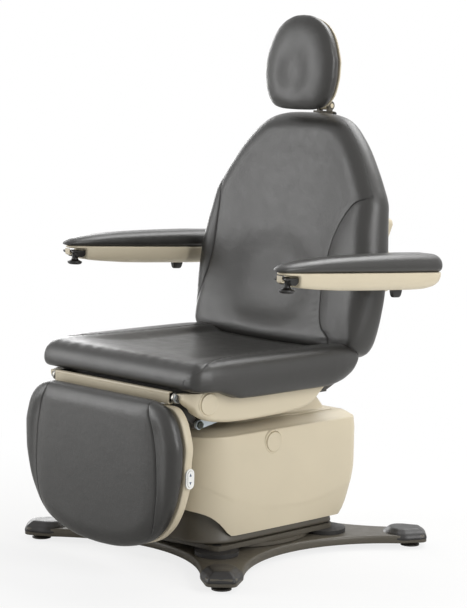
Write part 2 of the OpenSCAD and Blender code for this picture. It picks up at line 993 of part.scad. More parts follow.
module shell_caps() {
  color(beige)
    pair()
      translate([0, shell_cap_y, shell_cap_z])
        cross_rod(shell_cap_r, cap_t, shell_half + cap_t / 2);
}

module seat_board() {
  color(plywood)
    translate([0, 0, board_z])
      linear_extrude(board_t)
        polygon(plan(shell_half - 10 * wall, frame_front - 5 * frame_t - over, ear_root_y - 2 * ear_bridge_t,
          foot_round, foot_round));
}

// Seat cushion at shares of its length: share of the half-width, height of the underside and of the
// rolls above their lowest values as shares of the thickness, and dish
seat_shares = [
  [0, 0.88, 0.45, 0.58, 0], [0.007, 0.93, 0.35, 0.70, 0], [0.03, 0.96, 0.29, 0.82, 0],
  [0.08, 0.98, 0.265, 0.90, 2], [0.15, 0.99, 0.255, 0.94, 5], [0.21, 0.994, 0.14, 0.96, 8],
  [0.26, 0.996, 0.02, 0.975, 10], [0.40, 1, 0, 0.985, 13], [0.62, 1, 0, 0.99, 15], [0.78, 1, 0, 1, 16],
  [0.86, 0.994, 0.11, 1, 16], [0.915, 0.978, 0.23, 0.98, 15], [0.955, 0.945, 0.36, 0.94, 12],
  [0.985, 0.885, 0.52, 0.84, 6], [1, 0.82, 0.62, 0.74, 0]
];

module seat_cushion() {
  long = seat_front + seat_rear;
  thick = seat_top - seat_low;
  color(vinyl)
    loft([for (s = seat_shares)
      cushion_ring(roll_shares, -seat_front + s[0] * long, s[1] * seat_half, seat_low + s[2] * thick,
        seat_low + s[3] * thick, s[4])]);
}

module seat_pins() {
  color(steel) {
    pair() {
      translate([0, recline_y, recline_z]) {
        cross_rod(pin_r, back_ear_x + back_ear_t / 2 - back_link_x + back_link_t,
          (back_ear_x + back_ear_t / 2 + back_link_x - back_link_t) / 2);
        cross_rod(pin_head_r, pin_head_t, back_ear_x + back_ear_t / 2 + pin_head_t / 2);
      }
      translate([0, -leg_y, leg_z]) {
        cross_rod(leg_pin_r, 5 * bracket_t, bracket_x + bracket_t / 2 - 2.5 * bracket_t);
        cross_rod(1.4 * leg_pin_r, pin_head_t, bracket_x + bracket_t / 2 + pin_head_t / 2);
      }
    }
  }
}

module hinge_brackets() {
  color(steel)
    difference() {
      pair()
        link_plate([-frame_front - bracket_r, leg_z - stud_fit], [-leg_y, leg_z], bracket_r, bracket_t, bracket_x);
      translate([0, -leg_y, leg_z])
        cross_rod(leg_pin_r + fit, 3 * bracket_x);
    }
}

// Straight actuator body along Y that hangs from the frame's plate by a lug at its closed end, with a
// bore for its rod
module actuator(x, z, from, to, hole) {
  lug_y = hole > 0 ? from : to - 2 * actuator_r;
  difference() {
    union() {
      translate([x, from, z])
        rotate([-90, 0, 0])
          cylinder(h = to - from, r = actuator_r);
      block([x - actuator_r / 2, lug_y, z], [x + actuator_r / 2, lug_y + 2 * actuator_r, frame_top - frame_t]);
    }
    translate([x, from + hole, z])
      rotate([-90, 0, 0])
        cylinder(h = to - from, r = actuator_rod_r + fit);
  }
}

module leg_actuator() {
  color(dark_steel)
    actuator(leg_rod_x, leg_rod_z, leg_body_front, leg_body_rear, -actuator_r);
}

module leg_rod() {
  color(steel) {
    translate([leg_rod_x, link_rear_y - link_end_t, leg_rod_z])
      rotate([-90, 0, 0])
        cylinder(h = leg_rod_l, r = actuator_rod_r);
    block([-link_in + stud_fit, link_rear_y - link_end_t, link_rear_z - link_end_t],
      [link_in - stud_fit, link_rear_y + link_end_t, link_rear_z + link_end_t]);
  }
}

module recline_actuator() {
  color(dark_steel)
    actuator(recline_rod_x, recline_rod_z, recline_body_front, recline_body_rear, actuator_r);
}

module recline_rod() {
  color(steel)
    difference() {
      union() {
        translate([recline_rod_x, recline_rod_front, recline_rod_z])
          rotate([-90, 0, 0])
            cylinder(h = recline_crank_y - recline_rod_front, r = actuator_rod_r);
        block([recline_rod_x - actuator_rod_r, recline_crank_y - rod_head, recline_rod_z - rod_head_z],
          [recline_rod_x + actuator_rod_r, recline_crank_y + rod_head, recline_rod_z + rod_head_z]);
      }
      block([recline_rod_x - over, recline_crank_y - rod_slot, recline_rod_z - rod_slot_z],
        [recline_rod_x + over, recline_crank_y + rod_slot, recline_rod_z + rod_slot_z]);
    }
}

// Backrest. Its frame has Y up the back from the recline axis and Z out of the front of the cushion.

module on_back() {
  translate([0, recline_y, recline_z])
    rotate([back_ang, 0, 0])
      children();
}

// Back cushion at shares of its length: share of the half-width, of the thickness behind and in
// front, and dish
back_shares = [
  [0.045, 0.60, 0.05, 0.20, 0], [0.052, 0.70, 0.01, 0.29, 0], [0.075, 0.835, 0, 0.40, 0],
  [0.112, 0.905, 0, 0.62, 9], [0.15, 0.95, 0, 0.85, 24], [0.21, 0.982, 0, 0.97, 34], [0.30, 1, 0, 1, 37],
  [0.427, 1.006, 0, 0.98, 33], [0.54, 0.988, 0, 0.95, 27], [0.653, 0.932, 0, 0.92, 21],
  [0.734, 0.85, 0, 0.89, 17], [0.805, 0.752, 0, 0.86, 13], [0.868, 0.66, 0, 0.82, 9],
  [0.915, 0.573, 0, 0.77, 6], [0.958, 0.47, 0, 0.70, 3], [0.985, 0.36, 0.04, 0.60, 0],
  [1, 0.20, 0.13, 0.44, 0]
];

// Half outline of the back shell: share of the back's half-width and of its length
back_shell_shares = [
  [0.76, 0.078], [0.83, 0.15], [0.86, 0.21], [0.88, 0.30], [0.885, 0.42], [0.87, 0.55], [0.83, 0.63],
  [0.78, 0.70], [0.725, 0.76], [0.65, 0.82], [0.56, 0.87], [0.46, 0.915], [0.33, 0.95],
  [0.18, 0.97], [0, 0.978]
];

function back_outline(inset) = both_sides([for (s = back_shell_shares)
  [max(0, s[0] * back_half - inset), s[1] * back_length - inset]]);

module back_frame() {
  color(dark_steel)
    difference() {
      union() {
        link_plate([recline_y, recline_z], [recline_crank_y, recline_crank_z], recline_crank_r,
          recline_crank_t, recline_crank_x);
        translate([0, recline_crank_y, recline_crank_z])
          cross_rod(recline_pin_r, recline_crank_t + 2 * actuator_rod_r + stud_fit,
            recline_crank_x - actuator_rod_r - stud_fit / 2);
        on_back() {
          cross_rod(torque_r, 2 * back_link_x);
          intersection() {
            translate([0, 0, back_frame_z])
              linear_extrude(back_frame_t)
                polygon(back_outline(2 * wall));
            difference() {
              block([-back_link_x, back_base + wall, -back_shell_t],
                [back_link_x, back_length - mast_guide - wall, 0]);
              block([-mast_half - wall, mast_low - over, -back_shell_t], [mast_half + wall, back_length, 0]);
            }
          }
          pair() {
            block([back_link_x - back_link_t, 0, back_frame_z],
              [back_link_x, back_base + 2 * back_ear_r, back_frame_z + 2 * back_frame_t]);
            cross_rod(back_ear_r, back_link_t, back_link_x - back_link_t / 2);
            block([back_link_x - back_link_t, 0, -back_ear_r], [back_link_x, back_base - wall, back_frame_z]);
          }
        }
      }
      translate([0, recline_y, recline_z])
        cross_rod(pin_r + fit, 3 * rail_half);
    }
}

module back_shell() {
  color(beige)
    on_back()
      difference() {
        intersection() {
          translate([0, 0, -2 * back_shell_t])
            linear_extrude(2 * back_shell_t)
              polygon(back_outline(0));
          back_crown(0);
        }
        difference() {
          intersection() {
            translate([0, 0, -2 * back_shell_t])
              linear_extrude(2 * back_shell_t + over)
                polygon(back_outline(wall));
            back_crown(wall);
          }
          block([-back_half, back_length - mast_guide, -2 * back_shell_t], [back_half, back_length, 0]);
          pair()
            for (y = [0.2, 0.6] * back_length)
              translate([back_boss_x, y, -2 * back_shell_t])
                cylinder(h = 2 * back_shell_t + back_frame_z, r = back_boss_r);
        }
        intersection() {
          block([-back_half + 10 * wall, -over, -2 * back_shell_t],
            [back_half - 10 * wall, back_base + over, over]);
          back_crown(wall);
        }
        block([-mast_half - fit, mast_low - over, mast_z - mast_t / 2 - fit],
          [mast_half + fit, back_length + over, mast_z + mast_t / 2 + fit]);
      }
}

// Round back of the shell, taken in by the wall w
module back_crown(w) {
  translate([0, 0, back_crown_r - back_shell_t - wall])
    rotate([-90, 0, 0])
      translate([0, 0, -over])
        cylinder(h = back_length + 2 * over, r = back_crown_r - w, $fn = 20 * $fn);
}

module back_cushion() {
  color(vinyl)
    on_back()
      loft([for (s = back_shares)
        cushion_ring(roll_shares, s[0] * back_length, s[1] * back_half, s[2] * back_t, s[3] * back_t, s[4])]);
}

module arm_shaft() {
  color(steel)
    on_back()
      translate([0, arm_ly, arm_lz])
        cross_rod(arm_pin_r, 2 * (carrier_out - 2 * wall));
}

// Cover across the back of the shell, round the arm shaft
module yoke_solid(w) {
  difference() {
    intersection() {
      translate([0, 0, -2 * back_shell_t - yoke_depth])
        linear_extrude(2 * back_shell_t + yoke_depth)
          polygon(rounded([
            [-yoke_half + w, yoke_low + w, yoke_round - w], [yoke_half - w, yoke_low + w, yoke_round - w],
            [yoke_half - w, arm_ly + yoke_knee, yoke_round / 2],
            [yoke_half * 0.75 - w, yoke_high - w, yoke_round - w],
            [-yoke_half * 0.75 + w, yoke_high - w, yoke_round - w],
            [-yoke_half + w, arm_ly + yoke_knee, yoke_round / 2]
          ]));
      translate([0, 0, -yoke_depth])
        back_crown(w);
    }
    back_crown(0);
  }
}

module arm_yoke() {
  color(beige)
    on_back()
      difference() {
        yoke_solid(0);
        yoke_solid(wall);
        translate([0, arm_ly, arm_lz])
          cross_rod(arm_pin_r + fit, 2 * carrier_out);
      }
}

// Arms. The frame of an arm has its origin at the pivot and Y along the arm, towards its rear.

module on_arm(side) {
  translate([side * arm_x, arm_y, arm_z])
    rotate([-arm_slope, 0, 0])
      children();
}

module arm_carrier(side) {
  color(beige)
    translate([0, arm_y, arm_z])
      difference() {
        union() {
          cross_rod(carrier_r, carrier_out - carrier_in, side * (carrier_out + carrier_in) / 2);
          cross_rod(arm_pin_r, pivot_in - carrier_in, side * (pivot_in + carrier_in) / 2);
        }
        cross_rod(arm_pin_r + fit, 2 * carrier_out - 3 * wall);
      }
}

// Arm at shares of its length from the tip: share of the half-width and of the pad's thickness
arm_shares = [
  [1.012, 0.17, 0.16], [1, 0.36, 0.27], [0.965, 0.53, 0.42], [0.88, 0.68, 0.59], [0.72, 0.80, 0.76],
  [0.52, 0.91, 0.88], [0.32, 0.98, 0.96], [0.15, 1, 1], [0.02, 0.985, 1], [-0.025, 0.88, 0.93],
  [-0.045, 0.68, 0.76], [-0.054, 0.42, 0.46]
];

function arm_plan(inset) = both_sides([for (s = arm_shares)
  [s[1] * arm_half - inset, -s[0] * arm_length + (s[0] > 0.9 ? inset : s[0] < -0.04 ? -inset : 0)]]);

// Underside of an arm in side view, from its rear to its tip
function arm_keel(w) = rounded([
  [arm_heel - w, arm_line + (w > 0 ? over : 0), 0],
  [arm_heel - 2 * stud_fit - w, arm_line - arm_heel_low + w, arm_heel / 2],
  [-arm_heel / 2, arm_line - 0.87 * arm_belly + w, arm_heel],
  [-0.2 * arm_length, arm_line - arm_belly + w, 0],
  [-0.55 * arm_length, arm_line - arm_belly + w, 2 * arm_heel],
  [-0.75 * arm_length, arm_line - 0.87 * arm_belly + w, 2 * arm_heel],
  [-0.91 * arm_length, arm_line - 0.675 * arm_belly + w, arm_heel / 1.5],
  [-0.985 * arm_length + w, arm_line - 0.22 * arm_belly + w, arm_heel / 4],
  [-0.985 * arm_length + w, arm_line + (w > 0 ? over : 0), 0]
]);

module arm_shell(side) {
  color(beige)
    on_arm(side)
      difference() {
        intersection() {
          side_slab(arm_keel(0), 2 * arm_half);
          linear_extrude(2 * arm_belly + arm_line, center = true)
            polygon(arm_plan(2));
        }
        difference() {
          intersection() {
            side_slab(arm_keel(wall), 2 * arm_half);
            linear_extrude(2 * arm_belly + arm_line + over, center = true)
              polygon(arm_plan(2 + wall));
          }
          cross_rod(arm_hub_r, arm_half + arm_pin_r + wall, -side * (arm_half - arm_pin_r - wall) / 2);
          block([-arm_half, trigger_y - 2 * trigger_half, -arm_belly],
            [arm_half, trigger_y + 2 * trigger_half, arm_line - 2 * stud_fit]);
        }
        cross_rod(arm_pin_r + fit, 2 * (arm_x - pivot_in) + 2 * arm_half, -side * arm_half);
        block([-arm_half, trigger_y - arm_notch, -arm_belly],
          [arm_half, trigger_y + arm_notch, arm_line - arm_notch]);
        translate([0, trigger_y, 0])
          cylinder(h = arm_line - wall, r = trigger_stem_r + fit);
      }
}

module arm_pad(side) {
  color(vinyl)
    on_arm(side)
      loft([for (s = arm_shares)
        cushion_ring(pad_shares, -s[0] * arm_length, s[1] * arm_half, arm_line,
          arm_line + s[2] * pad_thick, 0)]);
}

// Sprung release with a wide disc under the tip of an arm
module arm_trigger(side) {
  color(charcoal)
    on_arm(side)
      translate([0, trigger_y, 0]) {
        translate([0, 0, -arm_line])
          cylinder(h = 2 * arm_line - wall - trigger_travel - 2 * stud_fit, r = trigger_stem_r);
        translate([0, 0, -arm_line - trigger_stem_r])
          scale([0.65, 1, 1])
            cylinder(h = trigger_stem_r, r1 = trigger_half - 2 * stud_fit, r2 = trigger_half);
      }
}

module arm_stop(side) {
  color(charcoal)
    on_arm(side)
      translate([side * arm_half / 4, -110 - arm_hub_r, arm_line - arm_belly])
        mirror([0, 0, 1])
          linear_extrude(20, scale = 0.75)
            square([14, 34], center = true);
}

module arm_carrier_left() { arm_carrier(1); }
module arm_carrier_right() { arm_carrier(-1); }
module arm_shell_left() { arm_shell(1); }
module arm_shell_right() { arm_shell(-1); }
module arm_pad_left() { arm_pad(1); }
module arm_pad_right() { arm_pad(-1); }
module arm_trigger_left() { arm_trigger(1); }
module arm_trigger_right() { arm_trigger(-1); }
module arm_stop_left() { arm_stop(1); }
module arm_stop_right() { arm_stop(-1); }

// Headrest

module headrest_mast() {
  color(steel)
    on_back() {
      block([-mast_half, mast_low, mast_z - mast_t / 2],
        [mast_half, link_ly - head_link_r - wall, mast_z + mast_t / 2]);
      difference() {
        block([-mast_half - 2 * link_pin_r, mast_collar, mast_z - fork_t],
          [mast_half + 2 * link_pin_r, back_length + 1.5 * link_pin_r, mast_z + fork_t]);
        translate([0, back_length + link_pin_r / 2, mast_z])
          cross_rod(button_r + fit, 2 * over, mast_half + over);
      }
      difference() {
        pair() {
          block([mast_half - fork_t, back_length + link_pin_r, mast_z - fork_t],
            [mast_half, link_ly, mast_z + fork_t]);
          translate([0, link_ly, link_lz])
            cross_rod(head_link_r, fork_t, mast_half - fork_t / 2);
        }
        translate([0, link_ly, link_lz])
          cross_rod(link_pin_r + fit, 3 * mast_half);
      }
    }
}

module headrest_button() {
  color(charcoal)
    on_back()
      translate([0, back_length + link_pin_r / 2, mast_z])
        cross_rod(button_r, 2 * link_pin_r + wall, mast_half + 2 * link_pin_r);
}

module headrest_link() {
  web = 2 * (mast_half - fork_t - stud_fit);
  color(steel) {
    link_plate([link_y, link_z], [head_pivot_y, head_pivot_z], head_link_r, web, 0);
    translate([0, link_y, link_z])
      cross_rod(link_pin_r, 2 * mast_half + wall);
    translate([0, head_pivot_y, head_pivot_z])
      cross_rod(link_pin_r, 2 * mast_half + wall);
  }
}

module on_head() {
  translate([0, head_place_y, head_place_z])
    rotate([90 - head_lean, 0, 0])
      children();
}

// Headrest at shares of its half-height: share of the half-width, of the thickness behind and in
// front, and dish
head_shares = [
  [-1, 0.44, 0.30, 0.55, 0], [-0.975, 0.58, 0.15, 0.70, 0], [-0.865, 0.775, 0.04, 0.86, 0],
  [-0.70, 0.885, 0, 0.95, 2], [-0.5, 0.96, 0, 1, 6], [-0.25, 1, 0, 1, 11], [0, 1, 0, 1, 13],
  [0.25, 0.935, 0, 1, 11], [0.5, 0.84, 0, 0.98, 6], [0.70, 0.705, 0, 0.93, 2], [0.86, 0.53, 0.03, 0.85, 0],
  [0.96, 0.31, 0.12, 0.70, 0], [1, 0.12, 0.30, 0.55, 0]
];

module headrest_shell() {
  color(beige)
    difference() {
      union() {
        on_head()
          intersection() {
            translate([0, 0, -head_shell_t])
              linear_extrude(head_shell_t)
                polygon(curve(both_sides([for (s = head_shares)
                  0.95 * [s[1] * head_half, s[0] * head_half_h]])));
            translate([0, -head_half_h, head_half_h * 2 - head_shell_t])
              rotate([-90, 0, 0])
                cylinder(h = 2 * head_half_h, r = 2 * head_half_h, $fn = 2 * $fn);
          }
        pair()
          link_plate([head_place_y + head_shell_t, head_pivot_z], [head_pivot_y, head_pivot_z], head_link_r, fork_t,
            mast_half - fork_t / 2);
      }
      translate([0, head_pivot_y, head_pivot_z])
        cross_rod(link_pin_r + fit, 3 * mast_half);
    }
}

module headrest_cushion() {
  color(vinyl)
    on_head()
      loft([for (s = head_shares)
        cushion_ring(pad_shares, s[0] * head_half_h, s[1] * head_half, s[2] * head_t, s[3] * head_t, s[4])]);
}

// Leg rest. Its frame has Y from the foot end up to the leg rest's axis and Z out of the cushion.

module on_leg() {
  translate([0, -leg_y, leg_z])
    rotate([90, 0, 0])
      children();
}

module front_panel() {
  color(beige)
    translate([0, -leg_y, leg_z])
      side_slab([
        [-panel_half, -panel_half], [-wall, -panel_half], [-wall, panel_t - panel_half],
        [panel_t - panel_half, panel_t - panel_half], [panel_t - panel_half, panel_half - panel_t],
        [wall, panel_half - panel_t], [wall, panel_half], [-panel_half, panel_half]
      ], 2 * (bracket_x - bracket_t));
}

module leg_frame() {
  color(dark_steel)
    on_leg()
      difference() {
        union() {
          cross_rod(tube_r, 2 * (bracket_x - bracket_t));
          pair()
            link_plate([0, 0], [crank_ly, crank_lz], crank_r, crank_t, crank_x);
          pair()
            translate([0, crank_ly, crank_lz])
              cross_rod(link_r + wall, crank_t, crank_x);
          block([-rail_x - sleeve_r, -sleeve_end, sleeve_lz - stud_r],
            [rail_x + sleeve_r, 0, sleeve_lz + stud_r]);
          pair()
            translate([rail_x, -sleeve_end, sleeve_lz])
              rotate([-90, 0, 0])
                cylinder(h = sleeve_end - sleeve_top, r = sleeve_r);
          block([-rail_x - sleeve_r, -tube_r, sleeve_lz], [rail_x + sleeve_r, 0, 0]);
        }
        cross_rod(leg_pin_r + fit, 3 * bracket_x);
        pair() {
          translate([0, crank_ly, crank_lz])
            cross_rod(crank_pin_r + fit, 3 * bracket_x);
          translate([rail_x, -sleeve_end - over, sleeve_lz])
            rotate([-90, 0, 0])
              cylinder(h = sleeve_end + over - tube_r, r = rail_r + fit);
        }
      }
}

module crank_bolts() {
  color(charcoal)
    on_leg()
      pair()
        translate([0, crank_ly, crank_lz]) {
          cross_rod(crank_pin_r, crank_t + link_t + 1, crank_x + (link_t + 1) / 2);
          translate([link_in + link_t, 0, 0])
            rotate([0, 90, 0])
              cylinder(h = pin_head_t + 1, r = 1.5 * crank_pin_r, $fn = 6);
        }
}

module leg_links() {
  color(light_steel)
    difference() {
      pair()
        link_plate([link_front_y, link_front_z], [link_rear_y, link_rear_z], link_r + 3, link_t,
          link_in + link_t / 2);
      translate([0, link_front_y, link_front_z])
        cross_rod(crank_pin_r + fit, 3 * bracket_x);
    }
}

// Leg rest at shares of its length, from the foot end: share of the half-width, of the thickness
// behind and in front, and dish
leg_shares = [
  [1, 0.16, 0.12, 0.66, 0], [0.985, 0.31, 0.03, 0.83, 0], [0.955, 0.475, 0, 0.93, 0], [0.90, 0.67, 0, 0.98, 0],
  [0.80, 0.82, 0, 1, -1], [0.66, 0.92, 0, 1, -2], [0.54, 0.967, 0, 1, -3], [0.44, 0.99, 0, 1, -4],
  [0.31, 1, 0, 1, -4], [0.20, 0.965, 0, 1, -3], [0.11, 0.905, 0, 1, -2], [0.055, 0.83, 0, 0.97, 0],
  [0.025, 0.74, 0.04, 0.87, 0], [0.012, 0.67, 0.15, 0.72, 0]
];

function leg_outline(inset) = both_sides([for (s = leg_shares)
  if (s[0] * leg_length > leg_shell_top + inset)
    [s[1] * leg_half - inset, -s[0] * leg_length + (s[0] > 0.8 ? inset : 0)]]);

module leg_shell() {
  color(beige)
    on_leg()
      difference() {
        translate([0, 0, leg_shell_z])
          linear_extrude(leg_shell_t)
            polygon(leg_outline(0));
        difference() {
          translate([0, 0, leg_shell_z + wall])
            linear_extrude(leg_shell_t)
              polygon(leg_outline(wall));
          block([switch_seat - wall, switch_ly - 2 * switch_half - wall, leg_shell_z],
            [leg_half, switch_ly + 2 * switch_half + wall, leg_pad_z + over]);
        }
        block([switch_seat, switch_ly - 2 * switch_half, leg_shell_z - over],
          [leg_half + over, switch_ly + 2 * switch_half, leg_pad_z + over]);
        translate([switch_seat, switch_ly, switch_lz])
          switch_oval(switch_half + switch_gap, switch_w + switch_gap, 2 * over);
      }
}

// Oval about the X axis: half-length, half-width and depth, centred in depth
module switch_oval(long, wide, deep) {
  rotate([0, 90, 0])
    linear_extrude(deep, center = true) {
      square([2 * wide, 2 * (long - wide)], center = true);
      for (y = [-1, 1])
        translate([0, y * (long - wide)])
          circle(r = wide);
    }
}

module leg_cushion() {
  color(vinyl)
    on_leg()
      loft([for (s = leg_shares)
        cushion_ring(roll_shares, -s[0] * leg_length, s[1] * leg_half, leg_pad_z + s[2] * leg_t,
          leg_pad_z + s[3] * leg_t, s[4])]);
}

module leg_rails() {
  color(steel)
    on_leg()
      pair() {
        translate([rail_x, -rail_end, sleeve_lz])
          rotate([-90, 0, 0])
            cylinder(h = rail_end - rail_top, r = rail_r);
        block([rail_x - sleeve_r, -rail_end - rail_r, sleeve_lz - rail_r],
          [rail_x + sleeve_r, -rail_end + rail_r, leg_shell_z]);
      }
}

module switch_bezel() {
  color(white)
    on_leg()
      translate([switch_seat + panel_t / 2, switch_ly, switch_lz])
        difference() {
          switch_oval(switch_half + wall + switch_gap, switch_w + wall + switch_gap, panel_t);
          switch_oval(switch_half + switch_gap, switch_w + switch_gap, over);
        }
}

module switch_rocker() {
  color(white)
    on_leg()
      translate([switch_seat, switch_ly, switch_lz])
        switch_oval(switch_half, switch_w, 2 * panel_t + 2);
}

star_base();
foot_caps();
levelling_feet();
swivel_spindle();
turntable_plate();
brake_pads();
lower_skirt();
column_outer();
lift_motor();
middle_skirt();
column_middle();
main_cover();
cover_caps();
column_inner();
carriage_yoke();
neck_cover();
tilt_pin();
tilt_actuator();
tilt_rod();
seat_frame();
seat_shell();
shell_caps();
seat_board();
seat_cushion();
seat_pins();
hinge_brackets();
leg_actuator();
recline_actuator();
recline_rod();
leg_rod();
back_frame();
back_shell();
back_cushion();
arm_shaft();
arm_yoke();
headrest_mast();
headrest_link();
headrest_button();
headrest_shell();
headrest_cushion();
front_panel();
leg_frame();
crank_bolts();
leg_links();
leg_shell();
leg_cushion();
leg_rails();
switch_bezel();
switch_rocker();
arm_carrier_left();
arm_carrier_right();
arm_shell_left();
arm_shell_right();
arm_pad_left();
arm_pad_right();
arm_trigger_left();
arm_trigger_right();
arm_stop_left();
arm_stop_right();
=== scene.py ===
# Procedure chair: materials, padding, shells, light and camera. Metres, +Z up, the chair faces -Y.
import bpy
import bmesh
import json
import math
import numpy as np
from mathutils import Matrix, Vector


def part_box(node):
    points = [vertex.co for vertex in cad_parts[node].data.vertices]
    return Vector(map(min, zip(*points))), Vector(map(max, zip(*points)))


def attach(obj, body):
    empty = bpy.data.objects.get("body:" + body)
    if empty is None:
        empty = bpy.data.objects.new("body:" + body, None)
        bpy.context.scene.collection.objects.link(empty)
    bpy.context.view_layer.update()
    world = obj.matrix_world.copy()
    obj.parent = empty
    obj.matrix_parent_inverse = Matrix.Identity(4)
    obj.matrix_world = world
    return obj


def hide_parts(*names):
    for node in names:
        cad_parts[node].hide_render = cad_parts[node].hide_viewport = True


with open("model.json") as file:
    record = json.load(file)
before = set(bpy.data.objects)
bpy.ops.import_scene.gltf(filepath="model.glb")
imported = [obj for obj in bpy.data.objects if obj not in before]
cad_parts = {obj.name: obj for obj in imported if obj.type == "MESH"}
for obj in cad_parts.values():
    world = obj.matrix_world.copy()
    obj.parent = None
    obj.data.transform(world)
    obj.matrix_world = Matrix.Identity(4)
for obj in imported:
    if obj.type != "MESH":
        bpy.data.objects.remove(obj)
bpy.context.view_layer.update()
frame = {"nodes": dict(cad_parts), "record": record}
scene = bpy.context.scene
nodes = frame["nodes"]


# ---------------------------------------------------------------- numbers and curves
def spline(table, column=1):
    """Smooth curve through a table's rows, without overshoot."""
    xs = np.array([r[0] for r in table], float)
    ys = np.array([r[column] for r in table], float)
    h = np.diff(xs)
    d = np.diff(ys) / h
    m = np.zeros(len(xs))
    same = d[:-1] * d[1:] > 0
    m[1:-1][same] = 2 * d[:-1][same] * d[1:][same] / (d[:-1] + d[1:])[same]
    m[0], m[-1] = d[0], d[-1]

    def f(x):
        x = np.clip(np.asarray(x, float), xs[0], xs[-1])
        i = np.clip(np.searchsorted(xs, x, side="right") - 1, 0, len(h) - 1)
        t = (x - xs[i]) / h[i]
        return ((1 + 2 * t) * (1 - t) ** 2 * ys[i] + t * (1 - t) ** 2 * h[i] * m[i]
                + t * t * (3 - 2 * t) * ys[i + 1] + t * t * (t - 1) * h[i] * m[i + 1])
    return f


def step(a, b, x):
    t = np.clip((x - a) / (b - a), 0, 1)
    return t * t * (3 - 2 * t)


def bump(x, width):
    return np.exp(-(x / width) ** 2)


def roll(t, p=2.2):
    """Rise of a round edge from 0 at the edge to 1 at a distance of t = 1."""
    t = np.clip(t, 0, 1)
    return (1 - (1 - t) ** p) ** (1 / p)


def distance(points, line):
    """Distance of each point to a polyline."""
    p = np.asarray(points)[:, None, :]
    a, b = line[:-1][None], line[1:][None]
    ab = b - a
    t = np.clip(((p - a) * ab).sum(2) / np.maximum((ab ** 2).sum(2), 1e-12), 0, 1)
    return np.sqrt(((p - a - t[..., None] * ab) ** 2).sum(2)).min(1)


def turned(origin, angle):
    """Frame at origin, turned about X."""
    return Matrix.Translation(origin) @ Matrix.Rotation(math.radians(angle), 4, "X")


WORLD = Matrix.Identity(4)
BACK = turned((0, 0.235, 0.470), 81.5)
LEG = turned((0, -0.395, 0.460), 90)
HEAD = turned((0, 0.276, 1.267), 86)


# ---------------------------------------------------------------- meshes
def piece(name, verts, faces, body, slot, mat, matrix=WORLD, replaces=(), smooth=40, merge=1e-5):
    me = bpy.data.meshes.new(name)
    bm = bmesh.new()
    vs = [bm.verts.new(matrix @ Vector(v)) for v in verts]
    bm.verts.ensure_lookup_table()
    for f in faces:
        if len(set(f)) > 2:
            try:
                bm.faces.new([vs[i] for i in f])
            except ValueError:
                pass
    bmesh.ops.remove_doubles(bm, verts=bm.verts, dist=merge)
    bmesh.ops.recalc_face_normals(bm, faces=bm.faces)
    for f in bm.faces:
        f.smooth = True
    if smooth:
        for e in bm.edges:
            if len(e.link_faces) == 2 and e.calc_face_angle(0) > math.radians(smooth):
                e.smooth = False
    bm.to_mesh(me)
    bm.free()
    ob = bpy.data.objects.new(name, me)
    scene.collection.objects.link(ob)
    me.materials.append(mat)
    if replaces:
        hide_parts(*replaces)
    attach(ob, body)
    return ob


def grid_faces(rows, cols, closed=False, start=0):
    out = []
    for j in range(rows - 1):
        for i in range(cols if closed else cols - 1):
            k = (i + 1) % cols
            out.append((start + j * cols + i, start + j * cols + k, start + (j + 1) * cols + k, start + (j + 1) * cols + i))
    return out


def rings(name, loops, body, slot, mat, cap_first=True, cap_last=True, **k):
    """Skin over closed loops of equal length."""
    n = len(loops[0])
    verts = [tuple(p) for loop in loops for p in loop]
    faces = grid_faces(len(loops), n, True)
    for on, at in ((cap_first, 0), (cap_last, len(loops) - 1)):
        if on:
            verts.append(tuple(np.mean(np.array(loops[at]), axis=0)))
            c = len(verts) - 1
            faces += [(at * n + i, at * n + (i + 1) % n, c) for i in range(n)]
    return piece(name, verts, faces, body, slot, mat, **k)


def tube(name, path, radius, body, slot, mat, sides=8, **k):
    """Round tube along a path, its ends closed."""
    path = [Vector(p) for p in path]
    loops = []
    up = Vector((0.13, 0.21, 1)).normalized()
    for i, p in enumerate(path):
        d = (path[min(i + 1, len(path) - 1)] - path[max(i - 1, 0)]).normalized()
        a = d.cross(up).normalized()
        b = a.cross(d)
        r = radius[i] if hasattr(radius, "__len__") else radius
        loops.append([p + r * (math.cos(t) * a + math.sin(t) * b) for t in np.arange(sides) * 2 * math.pi / sides])
    return rings(name, loops, body, slot, mat, **k)


def rounded(points, n=8):
    """Closed outline through points of (x, y, corner radius)."""
    out = []
    for i, (x, y, r) in enumerate(points):
        b = Vector((x, y))
        if r == 0:
            out.append(b)
            continue
        a = Vector(points[i - 1][:2])
        c = Vector(points[(i + 1) % len(points)][:2])
        u, v = (a - b).normalized(), (c - b).normalized()
        half = u.angle(v) / 2
        m = b + (u + v).normalized() * r / math.sin(half)
        s, e = b + u * r / math.tan(half) - m, b + v * r / math.tan(half) - m
        t0 = math.atan2(s.y, s.x)
        turn = (math.atan2(e.y, e.x) - t0 + 3 * math.pi) % (2 * math.pi) - math.pi
        out += [m + r * Vector((math.cos(t0 + turn * k / n), math.sin(t0 + turn * k / n))) for k in range(n + 1)]
    return np.array([tuple(p) for p in out])


def even(loop, n):
    """The closed loop with n points at equal steps."""
    p = np.vstack([loop, loop[:1]])
    s = np.concatenate([[0], np.cumsum(np.linalg.norm(np.diff(p, axis=0), axis=1))])
    t = np.linspace(0, s[-1], n, endpoint=False)
    return np.stack([np.interp(t, s, p[:, 0]), np.interp(t, s, p[:, 1])], 1)


def inward(loop, d):
    """The closed loop moved in by d along its normals."""
    a = np.roll(loop, 1, 0)
    b = np.roll(loop, -1, 0)
    t = b - a
    t /= np.linalg.norm(t, axis=1)[:, None]
    n = np.stack([-t[:, 1], t[:, 0]], 1)
    area = 0.5 * np.sum(loop[:, 0] * b[:, 1] - b[:, 0] * loop[:, 1])
    return loop + n * d * (1 if area > 0 else -1)


